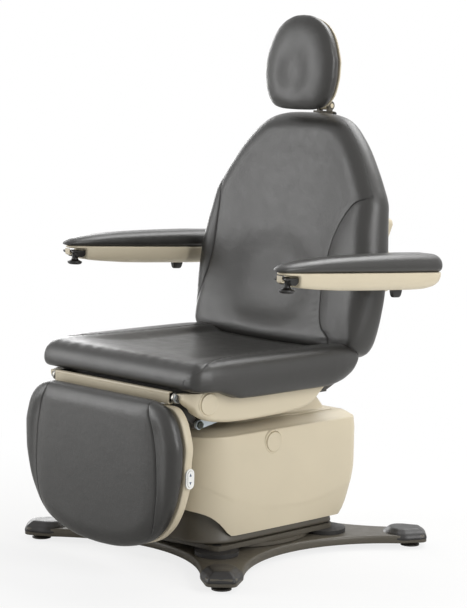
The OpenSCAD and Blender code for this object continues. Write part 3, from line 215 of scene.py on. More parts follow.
def flat_rings(name, outline, profile, body, slot, mat, shrink=None, **k):
    """Solid over an outline: the profile gives (inset, height) from its underside round to its top."""
    loops = []
    c = outline.mean(0)
    for d, z in profile:
        q = inward(outline, d) if d < 0.02 or shrink is None else c + (outline - c) * (1 - d / shrink)
        loops.append([(x, y, z) for x, y in q])
    return rings(name, loops, body, slot, mat, **k)


# ---------------------------------------------------------------- materials
def linear(code):
    v = [int(code[i:i + 2], 16) / 255 for i in (1, 3, 5)]
    return [c / 12.92 if c <= 0.04045 else ((c + 0.055) / 1.055) ** 2.4 for c in v] + [1]


def shade(code, k):
    c = linear(code)
    return [min(1, c[i] * k) for i in range(3)] + [1]


def material(name, code, rough, metal=0, cell=0, cell_depth=0, fine=0, fine_depth=0, soft=0, soft_depth=0,
             vary=0.06, wear=0, coat=0, sheen=0, streak=None, spec=0.5):
    """Colour with slow variation, a grain, a fine texture and slow waves, all at real sizes in metres."""
    m = bpy.data.materials.new(name)
    m.use_nodes = True
    t = m.node_tree
    t.nodes.clear()
    out = t.nodes.new("ShaderNodeOutputMaterial")
    b = t.nodes.new("ShaderNodeBsdfPrincipled")
    t.links.new(b.outputs[0], out.inputs[0])
    co = t.nodes.new("ShaderNodeTexCoord").outputs["Object"]

    def noise(size, detail=3, stretch=None):
        src = co
        if stretch:
            mp = t.nodes.new("ShaderNodeMapping")
            mp.inputs["Scale"].default_value = stretch
            t.links.new(co, mp.inputs[0])
            src = mp.outputs[0]
        n = t.nodes.new("ShaderNodeTexNoise")
        n.inputs["Scale"].default_value = 1 / size
        n.inputs["Detail"].default_value = detail
        t.links.new(src, n.inputs["Vector"])
        return n.outputs["Fac"]

    def ramp(src, lo, hi, a, c):
        r = t.nodes.new("ShaderNodeMapRange")
        for i, v in enumerate((lo, hi, a, c)):
            r.inputs[i + 1].default_value = v
        t.links.new(src, r.inputs[0])
        return r.outputs[0]

    mix = t.nodes.new("ShaderNodeMix")
    mix.data_type = "RGBA"
    mix.inputs["A"].default_value = shade(code, 1 - vary)
    mix.inputs["B"].default_value = shade(code, 1 + vary)
    t.links.new(ramp(noise(0.12, 4), 0.3, 0.7, 0, 1), mix.inputs["Factor"])
    colour = mix.outputs["Result"]
    if wear:
        geo = t.nodes.new("ShaderNodeNewGeometry").outputs["Pointiness"]
        w = t.nodes.new("ShaderNodeMix")
        w.data_type = "RGBA"
        t.links.new(ramp(geo, 0.52, 0.6, 0, wear), w.inputs["Factor"])
        t.links.new(colour, w.inputs["A"])
        w.inputs["B"].default_value = shade(code, 1.7)
        colour = w.outputs["Result"]
    t.links.new(colour, b.inputs["Base Color"])
    b.inputs["Metallic"].default_value = metal
    b.inputs["Specular IOR Level"].default_value = spec
    b.inputs["Coat Weight"].default_value = coat
    b.inputs["Coat Roughness"].default_value = 0.25
    b.inputs["Sheen Weight"].default_value = sheen
    t.links.new(ramp(noise(0.03, 5), 0.3, 0.7, rough * 0.88, rough * 1.12), b.inputs["Roughness"])
    last = None

    def add(src, depth, strength=1.0):
        nonlocal last
        n = t.nodes.new("ShaderNodeBump")
        n.inputs["Distance"].default_value = depth
        n.inputs["Strength"].default_value = strength
        t.links.new(src, n.inputs["Height"])
        if last:
            t.links.new(last, n.inputs["Normal"])
        last = n.outputs[0]

    if soft:
        add(noise(soft, 2), soft_depth)
    if cell:
        add(noise(9 * cell, 3), 2.5 * cell_depth)
        v = t.nodes.new("ShaderNodeTexVoronoi")
        v.feature = "DISTANCE_TO_EDGE"
        v.inputs["Scale"].default_value = 1 / cell
        t.links.new(co, v.inputs["Vector"])
        add(ramp(v.outputs["Distance"], 0, 0.25, 0, 1), cell_depth, 0.6)
    if fine:
        add(noise(fine, 4, streak), fine_depth, 0.7)
    if last:
        t.links.new(last, b.inputs["Normal"])
    return m


vinyl = material("grey_vinyl", "#31302e", 0.32, cell=0.0013, cell_depth=0.00012, fine=0.0006, fine_depth=0.00005,
                 soft=0.09, soft_depth=0.0012, vary=0.05, spec=0.5)
thread = material("dark_thread", "#242322", 0.7, fine=0.0004, fine_depth=0.0002)
beige = material("beige_moulded_plastic", "#cabfa7", 0.42, fine=0.0011, fine_depth=0.00006, soft=0.25,
                 soft_depth=0.0008, vary=0.02, spec=0.45)
taupe = material("taupe_powder_coat", "#4a453b", 0.45, fine=0.0012, fine_depth=0.00012, vary=0.04, wear=0.1)
black = material("black_moulded_plastic", "#181615", 0.42, fine=0.0009, fine_depth=0.00008, vary=0.06)
rubber = material("black_rubber", "#1d1b1a", 0.6, fine=0.0012, fine_depth=0.0001)
steel = material("machined_steel", "#8f8d88", 0.35, metal=1, fine=0.0008, fine_depth=0.00005, streak=(40, 1, 1))
bright = material("zinc_plated_steel", "#b9c2c8", 0.38, metal=0.6, fine=0.0015, fine_depth=0.00005)
dark = material("dark_painted_steel", "#3a3733", 0.42, fine=0.001, fine_depth=0.0001, wear=0.2)
bolt_green = material("dark_passivated_steel", "#3a4036", 0.38, metal=0.5, fine=0.0008, fine_depth=0.00006)
white = material("white_gloss_plastic", "#e9e9e6", 0.25, coat=0.4, vary=0.01)
navy = material("dark_blue_ink", "#24435f", 0.5)
wood = material("birch_plywood", "#b08d5b", 0.6, fine=0.002, fine_depth=0.0001, streak=(1, 30, 1))
STYLE = {"taupe_paint": taupe, "charcoal_plastic": black, "beige_shell": beige, "grey_vinyl": vinyl, "steel": steel,
         "dark_steel": dark, "light_steel": bright, "white_plastic": white, "plywood": wood}
for part in frame["record"]["subparts"]:
    ob = nodes[part["node"]]
    for s in ob.material_slots:
        s.material = STYLE[part["material_slot"]]
for node, mat in (("brake_pads", rubber), ("headrest_link", beige), ("headrest_mast", taupe), ("headrest_button", black)):
    for s in nodes[node].material_slots:
        s.material = mat


# ---------------------------------------------------------------- cushions
def pad(name, body, node, matrix, edge, low, mid, high, r_top, r_low, slot, mat, shape=None, under=None, seams=(),
        m=90, n=30, p=2.2, p_low=2.2, smooth=0, groove=0.0015):
    """Form over an outline. edge: rows of (y, left x, right x). low, mid and high: heights as functions of y.
    shape(x, y, d) and under(x, y, d): change of the top's and the underside's height. seams: (x of y, y from, y to)."""
    ys = np.array([r[0] for r in edge])
    v = np.linspace(0, 1, m)
    y = ys[0] + (ys[-1] - ys[0]) * (0.5 - 0.5 * np.cos(math.pi * v))
    xl, xr = spline(edge, 1)(y), spline(edge, 2)(y)
    line = np.vstack([np.stack([xl, y], 1), np.stack([xr, y], 1)[::-1], [[xl[0], y[0]]]])
    cuts = []
    for fx, y0, y1 in seams:
        x = np.clip(fx(y), xl + 0.012, xr - 0.012)
        cuts.append((x, step(y0 - 0.03, y0 + 0.01, y) * (1 - step(y1 - 0.01, y1 + 0.03, y))))
    cuts.sort(key=lambda c: c[0].mean())
    near = np.array([-0.0055, -0.003, -0.0012, 0, 0.0012, 0.003, 0.0055])
    ends = [xl] + [c[0] for c in cuts] + [xr]
    cols = []
    for k in range(len(ends) - 1):
        a, b = ends[k], ends[k + 1]
        first, last = k == 0, k == len(ends) - 2
        w = b - a
        ga = 0 if first else np.minimum(0.009, w * 0.2)
        gb = 0 if last else np.minimum(0.009, w * 0.2)
        t = np.linspace(0, 1, n * 2 if first and last else n if not (first or last) else 18)
        g = t
        if first and last:
            g = 0.5 - 0.5 * np.cos(math.pi * t)
        elif first:
            g = 1 - np.cos(math.pi * t / 2)
        elif last:
            g = np.sin(math.pi * t / 2)
        cols += [a + ga + (w - ga - gb) * q for q in g]
        if not last:
            cols += [b + q * np.minimum(1, w * 0.2 / 0.009) for q in near]
    X = np.stack(cols, 1)
    Y = np.repeat(y[:, None], X.shape[1], 1)
    d = distance(np.stack([X.ravel(), Y.ravel()], 1), line).reshape(X.shape)
    d[:, 0] = d[:, -1] = 0
    d[0] = d[-1] = 0
    lo, mi, hi = (f(Y) for f in (low, mid, high))
    if shape:
        hi = hi + shape(X, Y, d)
    if under:
        lo = lo + under(X, Y, d)
    top = mi + (hi - mi) * roll(d / (r_top(Y) if callable(r_top) else r_top), p)
    for x, depth in cuts:
        q = X - x[:, None]
        top = top - (0.0016 * bump(q, 0.0022) + groove * bump(q, 0.012)) * depth[:, None] * step(0, 0.02, d)
    bot = mi - (mi - lo) * roll(d / (r_low(Y) if callable(r_low) else r_low), p_low)
    verts = [q for h in (top, bot) for q in zip(X.ravel(), Y.ravel(), h.ravel())]
    faces = grid_faces(*X.shape) + grid_faces(*X.shape, start=X.size)
    ob = piece(name, verts, faces, body, slot, mat, matrix=matrix, replaces=(node,), smooth=smooth, merge=2e-5)
    for k, (x, depth) in enumerate(cuts):
        pts = []
        for i in range(m):
            if depth[i] > 0.15 and xl[i] + 0.013 < x[i] < xr[i] - 0.013:
                c = int(np.argmin(abs(X[i] - x[i])))
                pts.append(matrix @ Vector((X[i, c], y[i], top[i, c] + 0.0003)))
        if len(pts) > 3:
            tube(name + "_seam_%d" % k, pts, 0.0007, body, slot, thread, sides=6, replaces=(node,))
    return ob


def cushion(name, body, node, matrix, edge, low, mid, high, r_top, r_low, shape, fill=0.6, **k):
    ob = pad(name, body, node, matrix, edge, low, mid, high, r_top, r_low, "grey_vinyl", vinyl, shape=shape, **k)
    return ob


flat = lambda v: (lambda y: np.full_like(np.asarray(y, float), v))

# Seat: a waterfall front, side rolls and a dished centre
SEAT_EDGE = [(-0.397, 0.262), (-0.3953, 0.277), (-0.389, 0.288), (-0.374, 0.298), (-0.345, 0.3055), (-0.29, 0.309),
             (-0.22, 0.311), (-0.1, 0.312), (0.07, 0.312), (0.115, 0.310), (0.15, 0.305), (0.175, 0.299),
             (0.192, 0.288), (0.200, 0.272)]
SEAT_LOW = [(-0.397, 0.4785), (-0.37, 0.4775), (-0.345, 0.4760), (-0.32, 0.4745), (-0.28, 0.463), (-0.24, 0.452), (-0.17, 0.4505),
            (0.06, 0.4505), (0.11, 0.458), (0.16, 0.476), (0.18, 0.492), (0.20, 0.505)]
SEAT_HIGH = [(-0.397, 0.538), (-0.365, 0.547), (-0.33, 0.5505), (-0.27, 0.5515), (-0.18, 0.551), (0.1, 0.549),
             (0.16, 0.546), (0.185, 0.540), (0.20, 0.532)]
SEAT_SEAM = [(-0.397, 0.298), (-0.375, 0.291), (-0.35, 0.283), (-0.30, 0.266), (-0.25, 0.251), (-0.20, 0.241), (-0.12, 0.2345), (0.2, 0.233)]
seat_low, seat_high, seat_seam = spline(SEAT_LOW), spline(SEAT_HIGH), spline(SEAT_SEAM)
seat_mid = lambda y: seat_low(y) + (seat_high(y) - seat_low(y)) * 0.34


def seat_shape(x, y, d):
    """Dished panel between the side rolls, deepest at the rear, with faint pull lines at the rolls."""
    inner = step(0.0, 0.06, seat_seam(y) + 0.004 - abs(x)) * step(-0.385, -0.16, y)
    pulls = 0.0007 * np.sin(y * 260 + 3 * np.sin(y * 31)) * bump(abs(x) - seat_seam(y) - 0.010, 0.012)
    front = 0.0009 * np.sin(x * 170 + 2 * np.sin(x * 23)) * bump(y + 0.372, 0.012)
    return -0.013 * inner - 0.006 * inner * (1 - (x / 0.24) ** 2).clip(0, 1) + pulls + front


seat = cushion("seat_pad", "seat", "seat_cushion", WORLD, [(y, -h, h) for y, h in SEAT_EDGE], seat_low, seat_mid, seat_high,
               0.042, 0.016, seat_shape, m=130, n=44, p=2.4,
               seams=[(lambda y: -seat_seam(y), -0.40, 0.16), (seat_seam, -0.40, 0.16)])

# Back: an egg with side rolls, seams and a dished lumbar oval
c, s = math.cos(math.radians(81.5)), math.sin(math.radians(81.5))
BACK_EDGE = [(0.030, 0.20), (0.0305, 0.245), (0.034, 0.272), (0.047, 0.295), (0.070, 0.309), (0.10, 0.317), (0.14, 0.323),
             (0.20, 0.3272), (0.27, 0.3262), (0.33, 0.3190), (0.375, 0.3120), (0.41, 0.3070), (0.436, 0.3030), (0.49, 0.276), (0.538, 0.246), (0.58, 0.216),
             (0.611, 0.188), (0.64, 0.155), (0.655, 0.126), (0.664, 0.088), (0.6672, 0.05), (0.668, 0.0)]
BACK_HIGH = [(0.03, 0.064), (0.045, 0.085), (0.06, 0.0940), (0.08, 0.0973), (0.14, 0.098), (0.2, 0.098), (0.3, 0.098), (0.44, 0.093),
             (0.55, 0.087), (0.62, 0.079), (0.668, 0.064)]
SEAM_L = [(0.03, -0.318), (0.08, -0.315), (0.15, -0.290), (0.22, -0.266), (0.32, -0.254), (0.40, -0.256), (0.445, -0.262), (0.668, -0.27)]
SEAM_R = [(0.03, 0.215), (0.07, 0.213), (0.10, 0.182), (0.14, 0.166), (0.20, 0.160), (0.26, 0.166), (0.32, 0.178), (0.365, 0.195),
          (0.405, 0.22), (0.43, 0.245), (0.443, 0.270), (0.450, 0.290), (0.455, 0.31), (0.668, 0.40)]
back_high, seam_l, seam_r = spline(BACK_HIGH), spline(SEAM_L), spline(SEAM_R)


def back_shape(x, y, d):
    """Gentle hollow down the middle, fuller bolsters beside it low down, and a faint lumbar oval."""
    hollow = 0.020 * np.exp(-np.abs(x / 0.20) ** 3) * step(0.02, 0.18, y) * (1 - 0.45 * step(0.36, 0.62, y)) * step(0.0, 0.10, d)
    bolster = 0.007 * step(-0.03, 0.05, x - seam_r(y)) * step(0.05, 0.16, y) * (1 - step(0.34, 0.46, y))
    roll_left = 0.004 * step(0.0, 0.04, seam_l(y) - x) * (1 - step(0.34, 0.46, y))
    rho = np.sqrt(((x + 0.035) / 0.145) ** 2 + ((y - 0.215) / 0.130) ** 2)
    oval = -0.0065 * (1 - step(0.55, 1.2, rho))
    wrinkles = 0.0005 * np.sin(y * 330 + 5 * np.sin(x * 21)) * bump(x - seam_r(y) + 0.012, 0.02) * (1 - step(0.25, 0.35, y))
    return -hollow + bolster + roll_left + oval + wrinkles


back = cushion("back_pad", "back", "back_cushion", BACK, [(y, -h, h) for y, h in BACK_EDGE], flat(0.0005), lambda y: back_high(y) * 0.42,
               back_high, lambda y: 0.020 + 0.042 * step(0.05, 0.17, y), 0.032, back_shape, m=140, n=50, p=2.3,
               seams=[(seam_l, 0.02, 0.45), (seam_r, 0.0, 0.4550)])

# Headrest: an egg with a ring-shaped hollow
HEAD_EDGE = [(-0.126, 0.0), (-0.1255, 0.035), (-0.124, 0.058), (-0.118, 0.083), (-0.105, 0.0995), (-0.085, 0.1135), (-0.06, 0.1215),
             (-0.03, 0.126), (0.0, 0.126), (0.03, 0.1185), (0.06, 0.107), (0.088, 0.0893), (0.108, 0.066), (0.119, 0.043),
             (0.1245, 0.023), (0.126, 0.0)]


def head_shape(x, y, d):
    """A dished oval inside a soft, full ring."""
    rho = np.sqrt(((x + 0.008) / 0.058) ** 2 + ((y + 0.028) / 0.078) ** 2)
    return -0.008 * (1 - step(0.15, 1.2, rho))


head = cushion("head_pad", "head", "headrest_cushion", HEAD, [(y, -h, h) for y, h in HEAD_EDGE], flat(0.0005), flat(0.024), flat(0.048),
               0.062, 0.018, head_shape, m=100, n=60, p=2.0)

# Leg rest: a wide rounded shape with a seam beside each side roll
LEG_EDGE = [(-0.394, 0.0), (-0.3925, 0.045), (-0.389, 0.080), (-0.377, 0.136), (-0.36, 0.183), (-0.349, 0.202), (-0.314, 0.238),
            (-0.26, 0.267), (-0.215, 0.280), (-0.18, 0.2868), (-0.12, 0.289), (-0.08, 0.280), (-0.05, 0.2675), (-0.03, 0.251),
            (-0.015, 0.228), (-0.008, 0.205), (-0.005, 0.18)]
LEG_SEAM = [(-0.394, 0.17), (-0.35, 0.198), (-0.30, 0.219), (-0.22, 0.230), (-0.14, 0.227), (-0.07, 0.213), (-0.03, 0.198), (0, 0.19)]
leg_seam = spline(LEG_SEAM)


def leg_shape(x, y, d):
    """Full centre panel that falls to the seams, and side rolls with a faint dent."""
    inner = step(-0.01, 0.05, leg_seam(y) - abs(x)) * step(0.0, 0.05, d)
    dent = 0.004 * bump(abs(x) - leg_seam(y) - 0.016, 0.014) * step(-0.36, -0.28, y) * (1 - step(-0.09, -0.04, y))
    return 0.003 * inner - dent


leg = cushion("leg_pad", "leg_slide", "leg_cushion", LEG, [(y, -h, h) for y, h in LEG_EDGE], flat(0.0205), flat(0.041), flat(0.068),
              0.042, 0.020, leg_shape, m=100,
              seams=[(lambda y: -leg_seam(y), -0.35, -0.03), (leg_seam, -0.35, -0.03)])

# Arm pads
ARM_EDGE = [(-0.5515, 0.0), (-0.549, 0.009), (-0.543, 0.018), (-0.525, 0.0265), (-0.48, 0.034), (-0.392, 0.040), (-0.283, 0.0455),
            (-0.174, 0.049), (-0.08, 0.050), (-0.011, 0.049), (0.012, 0.044), (0.021, 0.037), (0.027, 0.026), (0.0290, 0.012),
            (0.0295, 0.0)]
ARM_HIGH = [(-0.5515, 0.008), (-0.545, 0.013), (-0.526, 0.0195), (-0.48, 0.027), (-0.392, 0.035), (-0.283, 0.0405), (-0.174, 0.044),
            (-0.08, 0.046), (-0.011, 0.046), (0.012, 0.043), (0.0295, 0.032)]
arm_high = spline(ARM_HIGH)
for side, word in ((1, "left"), (-1, "right")):
    A = Matrix.Translation((side * 0.400, 0.318, 0.718)) @ Matrix.Rotation(math.radians(-3.3), 4, "X")
    cushion("arm_pad_skin_" + word, "arm_" + word, "arm_pad_" + word, A, [(y, -h, h) for y, h in ARM_EDGE], flat(0.0223),
            lambda y: 0.0223 + arm_high(y) * 0.38, lambda y: 0.0223 + arm_high(y), 0.030, 0.012,
            lambda x, y, d: 0 * x, m=80)


# ---------------------------------------------------------------- covers
def plan(hw, front, rear, rf, rr, n=14, m=16):
    """Outline with round front and rear corners, from the middle of the front round by +X."""
    c = [(hw - rf, -front + rf, rf, -90), (hw - rr, rear - rr, rr, 0), (-hw + rr, rear - rr, rr, 90), (-hw + rf, -front + rf, rf, 180)]
    pts = []
    for k, (x, y, r, a) in enumerate(c):
        arc = [(x + r * math.cos(math.radians(a + 90 * i / n)), y + r * math.sin(math.radians(a + 90 * i / n))) for i in range(n + 1)]
        if pts:
            a0, b0 = np.array(pts[-1]), np.array(arc[0])
            pts += [tuple(a0 + (b0 - a0) * i / m) for i in range(1, m)]
        pts += arc
    a0, b0 = np.array(pts[-1]), np.array(pts[0])
    pts += [tuple(a0 + (b0 - a0) * i / m) for i in range(1, m)]
    return np.array(pts)


CREASE = spline([(-0.30, 0.235), (-0.2544, 0.214), (-0.2088, 0.189), (-0.145, 0.1626), (-0.073, 0.143), (-0.007, 0.135),
                 (0.08, 0.132), (0.173, 0.142), (0.254, 0.158), (0.30, 0.168)])
SHOULDER = spline([(-0.28, 0.289), (-0.2052, 0.2935), (-0.1127, 0.2965), (0.0986, 0.2988), (0.261, 0.3047), (0.30, 0.306)])
ARCH = spline([(-0.28, 0.150), (-0.2737, 0.148), (-0.2617, 0.144), (-0.242, 0.135), (-0.2292, 0.1255), (-0.2178, 0.115),
               (-0.2077, 0.104), (-0.1972, 0.092), (-0.1894, 0.0845), (-0.1795, 0.0797), (-0.168, 0.079), (0.30, 0.079)])
REAR = spline([(0.079, 0.236), (0.094, 0.250), (0.12, 0.264), (0.158, 0.277), (0.215, 0.2895), (0.30, 0.290), (0.355, 0.288)])
base_plan = plan(0.215, 0.280, 0.290, 0.110, 0.045)
loops = []
STEPS = [("z", t) for t in np.concatenate([[0, 0.01], np.linspace(0.03, 1, 46)])]
RIM, RIM_Z, CROWN = 0.005, 0.3335, 0.3545
for t in [0.0] + [q[1] for q in STEPS] + list(np.linspace(0, 1, 7)[1:] + 1) + [2.15, 2.4, 2.7, 3.0]:
    loop = []
    for x, y in base_plan:
        zb = float(ARCH(y))
        zt = RIM_Z
        if t <= 1:
            z, ins = zb + (zt - zb) * t, 0.0
        elif t <= 2:
            a = (t - 1) * math.pi / 2
            z, ins = zt + RIM * math.sin(a), RIM * (1 - math.cos(a))
        else:
            z = zt + RIM + (CROWN - zt - RIM) * (1 - (1 - (t - 2)) ** 1.6)
            ins = RIM + 0.034 * (t - 2)
        yy = y
        if y > 0.10:
            yy = 0.10 + (y - 0.10) * (float(REAR(z)) - 0.10) / 0.19
        side = 0.0
        fade = float(step(-0.30, -0.19, y))
        below = float(CREASE(y)) - z
        side -= (0.05 * max(0, below) + 0.0012 * float(step(0, 0.006, below))) * fade
        above = z - float(SHOULDER(y))
        side -= 0.10 * max(0, above) * float(step(-0.26, -0.15, y))
        hx = abs(x) + (side * abs(x) / 0.215) - ins
        vy = yy + (ins if y < -0.17 else -ins if y > 0.245 else 0)
        if y <= -0.17:
            q = Vector((abs(x) - 0.105, y + 0.17)) if abs(x) > 0.105 else Vector((0, y + 0.17))
            if abs(x) > 0.105:
                q = q.normalized() * (q.length + side - ins)
                hx, vy = 0.105 + q.x, -0.17 + q.y
            else:
                hx, vy = abs(x), y + ins
        elif y >= 0.245:
            k = 1 - ins / 0.045
            if abs(x) > 0.170:
                hx = 0.170 + (abs(x) - 0.170) * k + side
                vy = 0.10 + ((0.245 + (y - 0.245) * k) - 0.10) * (float(REAR(z)) - 0.10) / 0.19
            else:
                hx, vy = abs(x), 0.10 + ((0.245 + 0.045 * k) - 0.10) * (float(REAR(z)) - 0.10) / 0.19
        loop.append((math.copysign(hx, x), vy, z))
    loops.append(loop)
inner = [[(q[0] * 0.984, q[1] * 0.984, q[2]) for q in loops[0]]]
deep = [[(q[0] * 0.984, q[1] * 0.984, q[2] + 0.03) for q in loops[0]]]
lid = [[(q[0] * k, q[1] * k, 0.3549) for q in loops[-1]] for k in (0.9, 0.75, 0.62)]
rings("main_cover_skin", deep + inner + loops[1:] + lid, "carriage", "beige_shell", beige, cap_first=False, cap_last=False,
      replaces=("main_cover",), smooth=50)


def disc(name, body, replaced, centre, side, r, lift, tilt, stretch=1.0):
    """Round cap on a side wall: a soft dished rim in a fine groove, tipped a little so that it shows as a crescent."""
    profile = [(0.30, 0.0), (0.62, 0.0002), (0.80, 0.0008), (0.90, 0.0016), (0.955, 0.0018), (0.985, 0.0011), (1.0, -0.0006),
               (1.02, -0.0022), (1.05, -0.0016), (1.075, -0.0001), (1.10, 0.0006), (1.15, 0.0007), (1.22, -0.0004), (1.26, -0.004)]
    loops = []
    for share, h in profile:
        lean = lift if share < 1.01 else 0.0
        loops.append([(centre[0] + side * (h + lean + tilt * share * math.cos(a - 0.6) * (share < 1.01)),
                       centre[1] + r * share * math.cos(a) * stretch, centre[2] + r * share * math.sin(a))
                      for a in np.linspace(0, 2 * math.pi, 72, endpoint=False)])
    rings(name, loops, body, "beige_shell", beige, cap_last=False, replaces=replaced, smooth=60)


for side, word in ((1, "left"), (-1, "right")):
    disc("cover_disc_" + word, "carriage", ("cover_caps",), (side * 0.2153, -0.042, 0.307), side, 0.0255, 0.0014, 0.0007)
    disc("shell_disc_" + word, "seat", ("shell_caps",), (side * 0.2706, -0.326, 0.443), side, 0.0265, 0.0022, 0.0010)

# Neck cover: its rear leans out toward its foot, where a flange rests on the cover
loops = []
for z, out, rear in ((0.3552, 0.013, 0.236), (0.3562, 0.013, 0.236), (0.3578, 0.011, 0.234), (0.3582, 0.004, 0.224), (0.3595, 0.0015, 0.218),
                     (0.362, 0.0, 0.214), (0.370, 0, 0.207), (0.380, 0, 0.198), (0.390, 0, 0.189), (0.3968, -0.001, 0.184), (0.3980, -0.003, 0.181)):
    q = plan(0.154 + out, 0.130 + out, rear, 0.060, 0.018)
    waist = 0.014 * step(0.085, 0.075, 0) * 0
    loops.append([(x - math.copysign(0.012 * float(1 - step(0.070, 0.084, y)) * (abs(x) > 0.1), x), y, z) for x, y in q])
rings("neck_skin", loops, "carriage", "beige_shell", beige, cap_first=False, cap_last=False, replaces=("neck_cover",), smooth=50)

# Seat shell: two cheeks whose lower edges roll under
CHEEK_LOW = spline([(-0.3975, 0.4560), (-0.3925, 0.4500), (-0.3800, 0.4385), (-0.3690, 0.4300), (-0.3600, 0.4165), (-0.345, 0.4080),
                    (-0.325, 0.4005), (-0.300, 0.3945), (-0.265, 0.3895), (-0.230, 0.3872), (-0.18, 0.3862), (-0.10, 0.3872),
                    (-0.02, 0.3912), (0.02, 0.3972), (0.045, 0.4065), (0.068, 0.4245), (0.085, 0.4430), (0.0955, 0.4535)])
CHEEK_TOP = spline([(-0.3975, 0.4715), (-0.320, 0.4715), (-0.30, 0.4690), (-0.275, 0.4605), (-0.250, 0.4520), (-0.235, 0.4490), (-0.17, 0.4486),
                    (0.045, 0.4486), (0.070, 0.4510), (0.0955, 0.4540)])
for side, word in ((1, "left"), (-1, "right")):
    ys = np.concatenate([np.linspace(-0.3975, -0.33, 34), np.linspace(-0.33, 0.03, 60)[1:], np.linspace(0.03, 0.0955, 26)[1:]])
    loops = []
    for y in ys:
        low, top = float(CHEEK_LOW(y)), float(CHEEK_TOP(y))
        high = max(top - low, 0.0006)
        under = min(0.012, high * 0.45)
        nose = float(1 - step(-0.3975, -0.352, y))
        thick = 0.0325 - 0.004 * float(step(0.05, 0.0955, y)) - 0.011 * nose
        outer = 0.2702 - 0.020 * nose
        rise = min(0.020 * float(step(-0.372, -0.3975, y)), 0.8 * high) if y < -0.372 else 0.0
        loop = [(side * (outer - thick), y, top), (side * (outer - thick), y, low + under * 0.4 + rise)]
        for t in np.linspace(0, 1, 9):
            a = t * math.pi / 2
            loop.append((side * (outer - under * 1.3 * (1 - math.sin(a))), y, low + under * (1 - math.cos(a))))
        for t in np.linspace(0, 1, 8)[1:]:
            loop.append((side * (outer - 0.0006 * t), y, low + under + (high - under) * t))
        loops.append(loop)
    rings("seat_cheek_" + word, loops, "seat", "beige_shell", beige, replaces=("seat_shell",), smooth=50)

# Lower skirt, flared at its foot
loops = []
for z, out in ((0.0600, -0.006), (0.0608, 0.0035), (0.0625, 0.0065), (0.066, 0.0070), (0.072, 0.0058), (0.080, 0.0035), (0.092, 0.0012),
               (0.105, 0.0), (0.20, 0.0), (0.3225, 0.0), (0.3232, -0.004), (0.3205, -0.004)):
    q = plan(0.2000 + out, 0.2555 + out, 0.2000 + out * 0.5, 0.095, 0.030)
    loops.append([(x, y, z) for x, y in q])
rings("lower_skirt_skin", loops, "turntable", "taupe_paint", taupe, cap_first=False, cap_last=False, replaces=("lower_skirt",), smooth=60)


# ---------------------------------------------------------------- shells
BACK_SHELL = [(0.052, 0.10), (0.0525, 0.22), (0.058, 0.245), (0.10, 0.270), (0.14, 0.280), (0.20, 0.2868), (0.27, 0.2860), (0.32, 0.2775), (0.367, 0.2710),
              (0.42, 0.2590), (0.468, 0.2440), (0.508, 0.2275), (0.548, 0.2060), (0.581, 0.1800), (0.611, 0.150), (0.6346, 0.1076),
              (0.648, 0.0587), (0.6528, 0.03), (0.6533, 0.0)]
pad("back_shell_skin", "back", "back_shell", BACK, [(y, -h, h) for y, h in BACK_SHELL], flat(-0.0338), flat(-0.010), flat(-0.0004),
    0.006, 0.034, "beige_shell", beige, under=lambda x, y, d: x * x / 5.2, m=100, n=32)

HEAD_SHELL = [(y * 0.965, h * 0.965) for y, h in HEAD_EDGE]
pad("head_shell_skin", "head", "headrest_shell", HEAD, [(y, -h, h) for y, h in HEAD_SHELL], flat(-0.0138), flat(-0.002), flat(-0.0003),
    0.004, 0.045, "beige_shell", beige, m=70)

LEG_SHELL = [(y, min(h, 0.2852) if abs(y + 0.19) < 0.03 else h) for y, h in
             [(-0.394, 0.0), (-0.3925, 0.046), (-0.389, 0.081), (-0.377, 0.137), (-0.36, 0.184), (-0.349, 0.203), (-0.314, 0.239), (-0.26, 0.268),
              (-0.2165, 0.281), (-0.2155, 0.2812), (-0.18, 0.2868), (-0.1645, 0.288), (-0.12, 0.290), (-0.08, 0.281), (-0.05, 0.2685),
              (-0.03, 0.252), (-0.022, 0.240), (-0.019, 0.225), (-0.018, 0.20)]]
pad("leg_shell_skin", "leg_slide", "leg_shell", LEG, [(y, -h, h) for y, h in LEG_SHELL], flat(-0.0098), flat(0.006), flat(0.0200),
    0.0035, 0.018, "beige_shell", beige, m=90)

ARM_LOW = spline([(-0.5390, 0.0150), (-0.5000, 0.0140), (-0.4940, 0.0100), (-0.4925, -0.0040), (-0.4900, -0.0125), (-0.4800, -0.0155), (-0.40, -0.0205),
                  (-0.34, -0.0230), (-0.25, -0.0238), (-0.11, -0.0238), (-0.05, -0.0225), (-0.015, -0.0178), (0.012, -0.010), (0.028, 0.000)])
ARM_SHELL = [(-0.5390, 0.0), (-0.5375, 0.008), (-0.532, 0.0165), (-0.515, 0.0245), (-0.4945, 0.0290), (-0.4925, 0.0294), (-0.489, 0.0299), (-0.48, 0.0312),
             (-0.45, 0.0342), (-0.392, 0.038), (-0.283, 0.0435),
             (-0.174, 0.047), (-0.08, 0.048), (-0.011, 0.047), (0.010, 0.042), (0.019, 0.035), (0.025, 0.024), (0.0273, 0.011), (0.0278, 0.0)]


def along(name, outline, x0, x1, bevel, body, slot, mat, matrix=WORLD, **k):
    """Plate with soft edges: an outline in (y, z) carried from x0 to x1."""
    loops = []
    for t in np.linspace(0, 1, 4):
        a = t * math.pi / 2
        loops.append((x0 + bevel * (1 - math.sin(a)), bevel * (1 - math.cos(a))))
    loops = loops[::-1] + [(x1 - q[0] + x0, q[1]) for q in loops]
    loops = sorted(loops)
    out = []
    for x, ins in loops:
        out.append([(x, y, z) for y, z in inward(outline, ins)])
    return rings(name, out, body, slot, mat, matrix=matrix, **k)


def stadium(a, b, r, n=14):
    """Outline round two points."""
    a, b = np.array(a, float), np.array(b, float)
    t = math.atan2(b[1] - a[1], b[0] - a[0])
    return np.array([c + r * np.array([math.cos(q), math.sin(q)]) for c, base in ((b, -0.5), (a, 0.5))
                     for q in t + math.pi * (base + np.linspace(0, 1, n))])


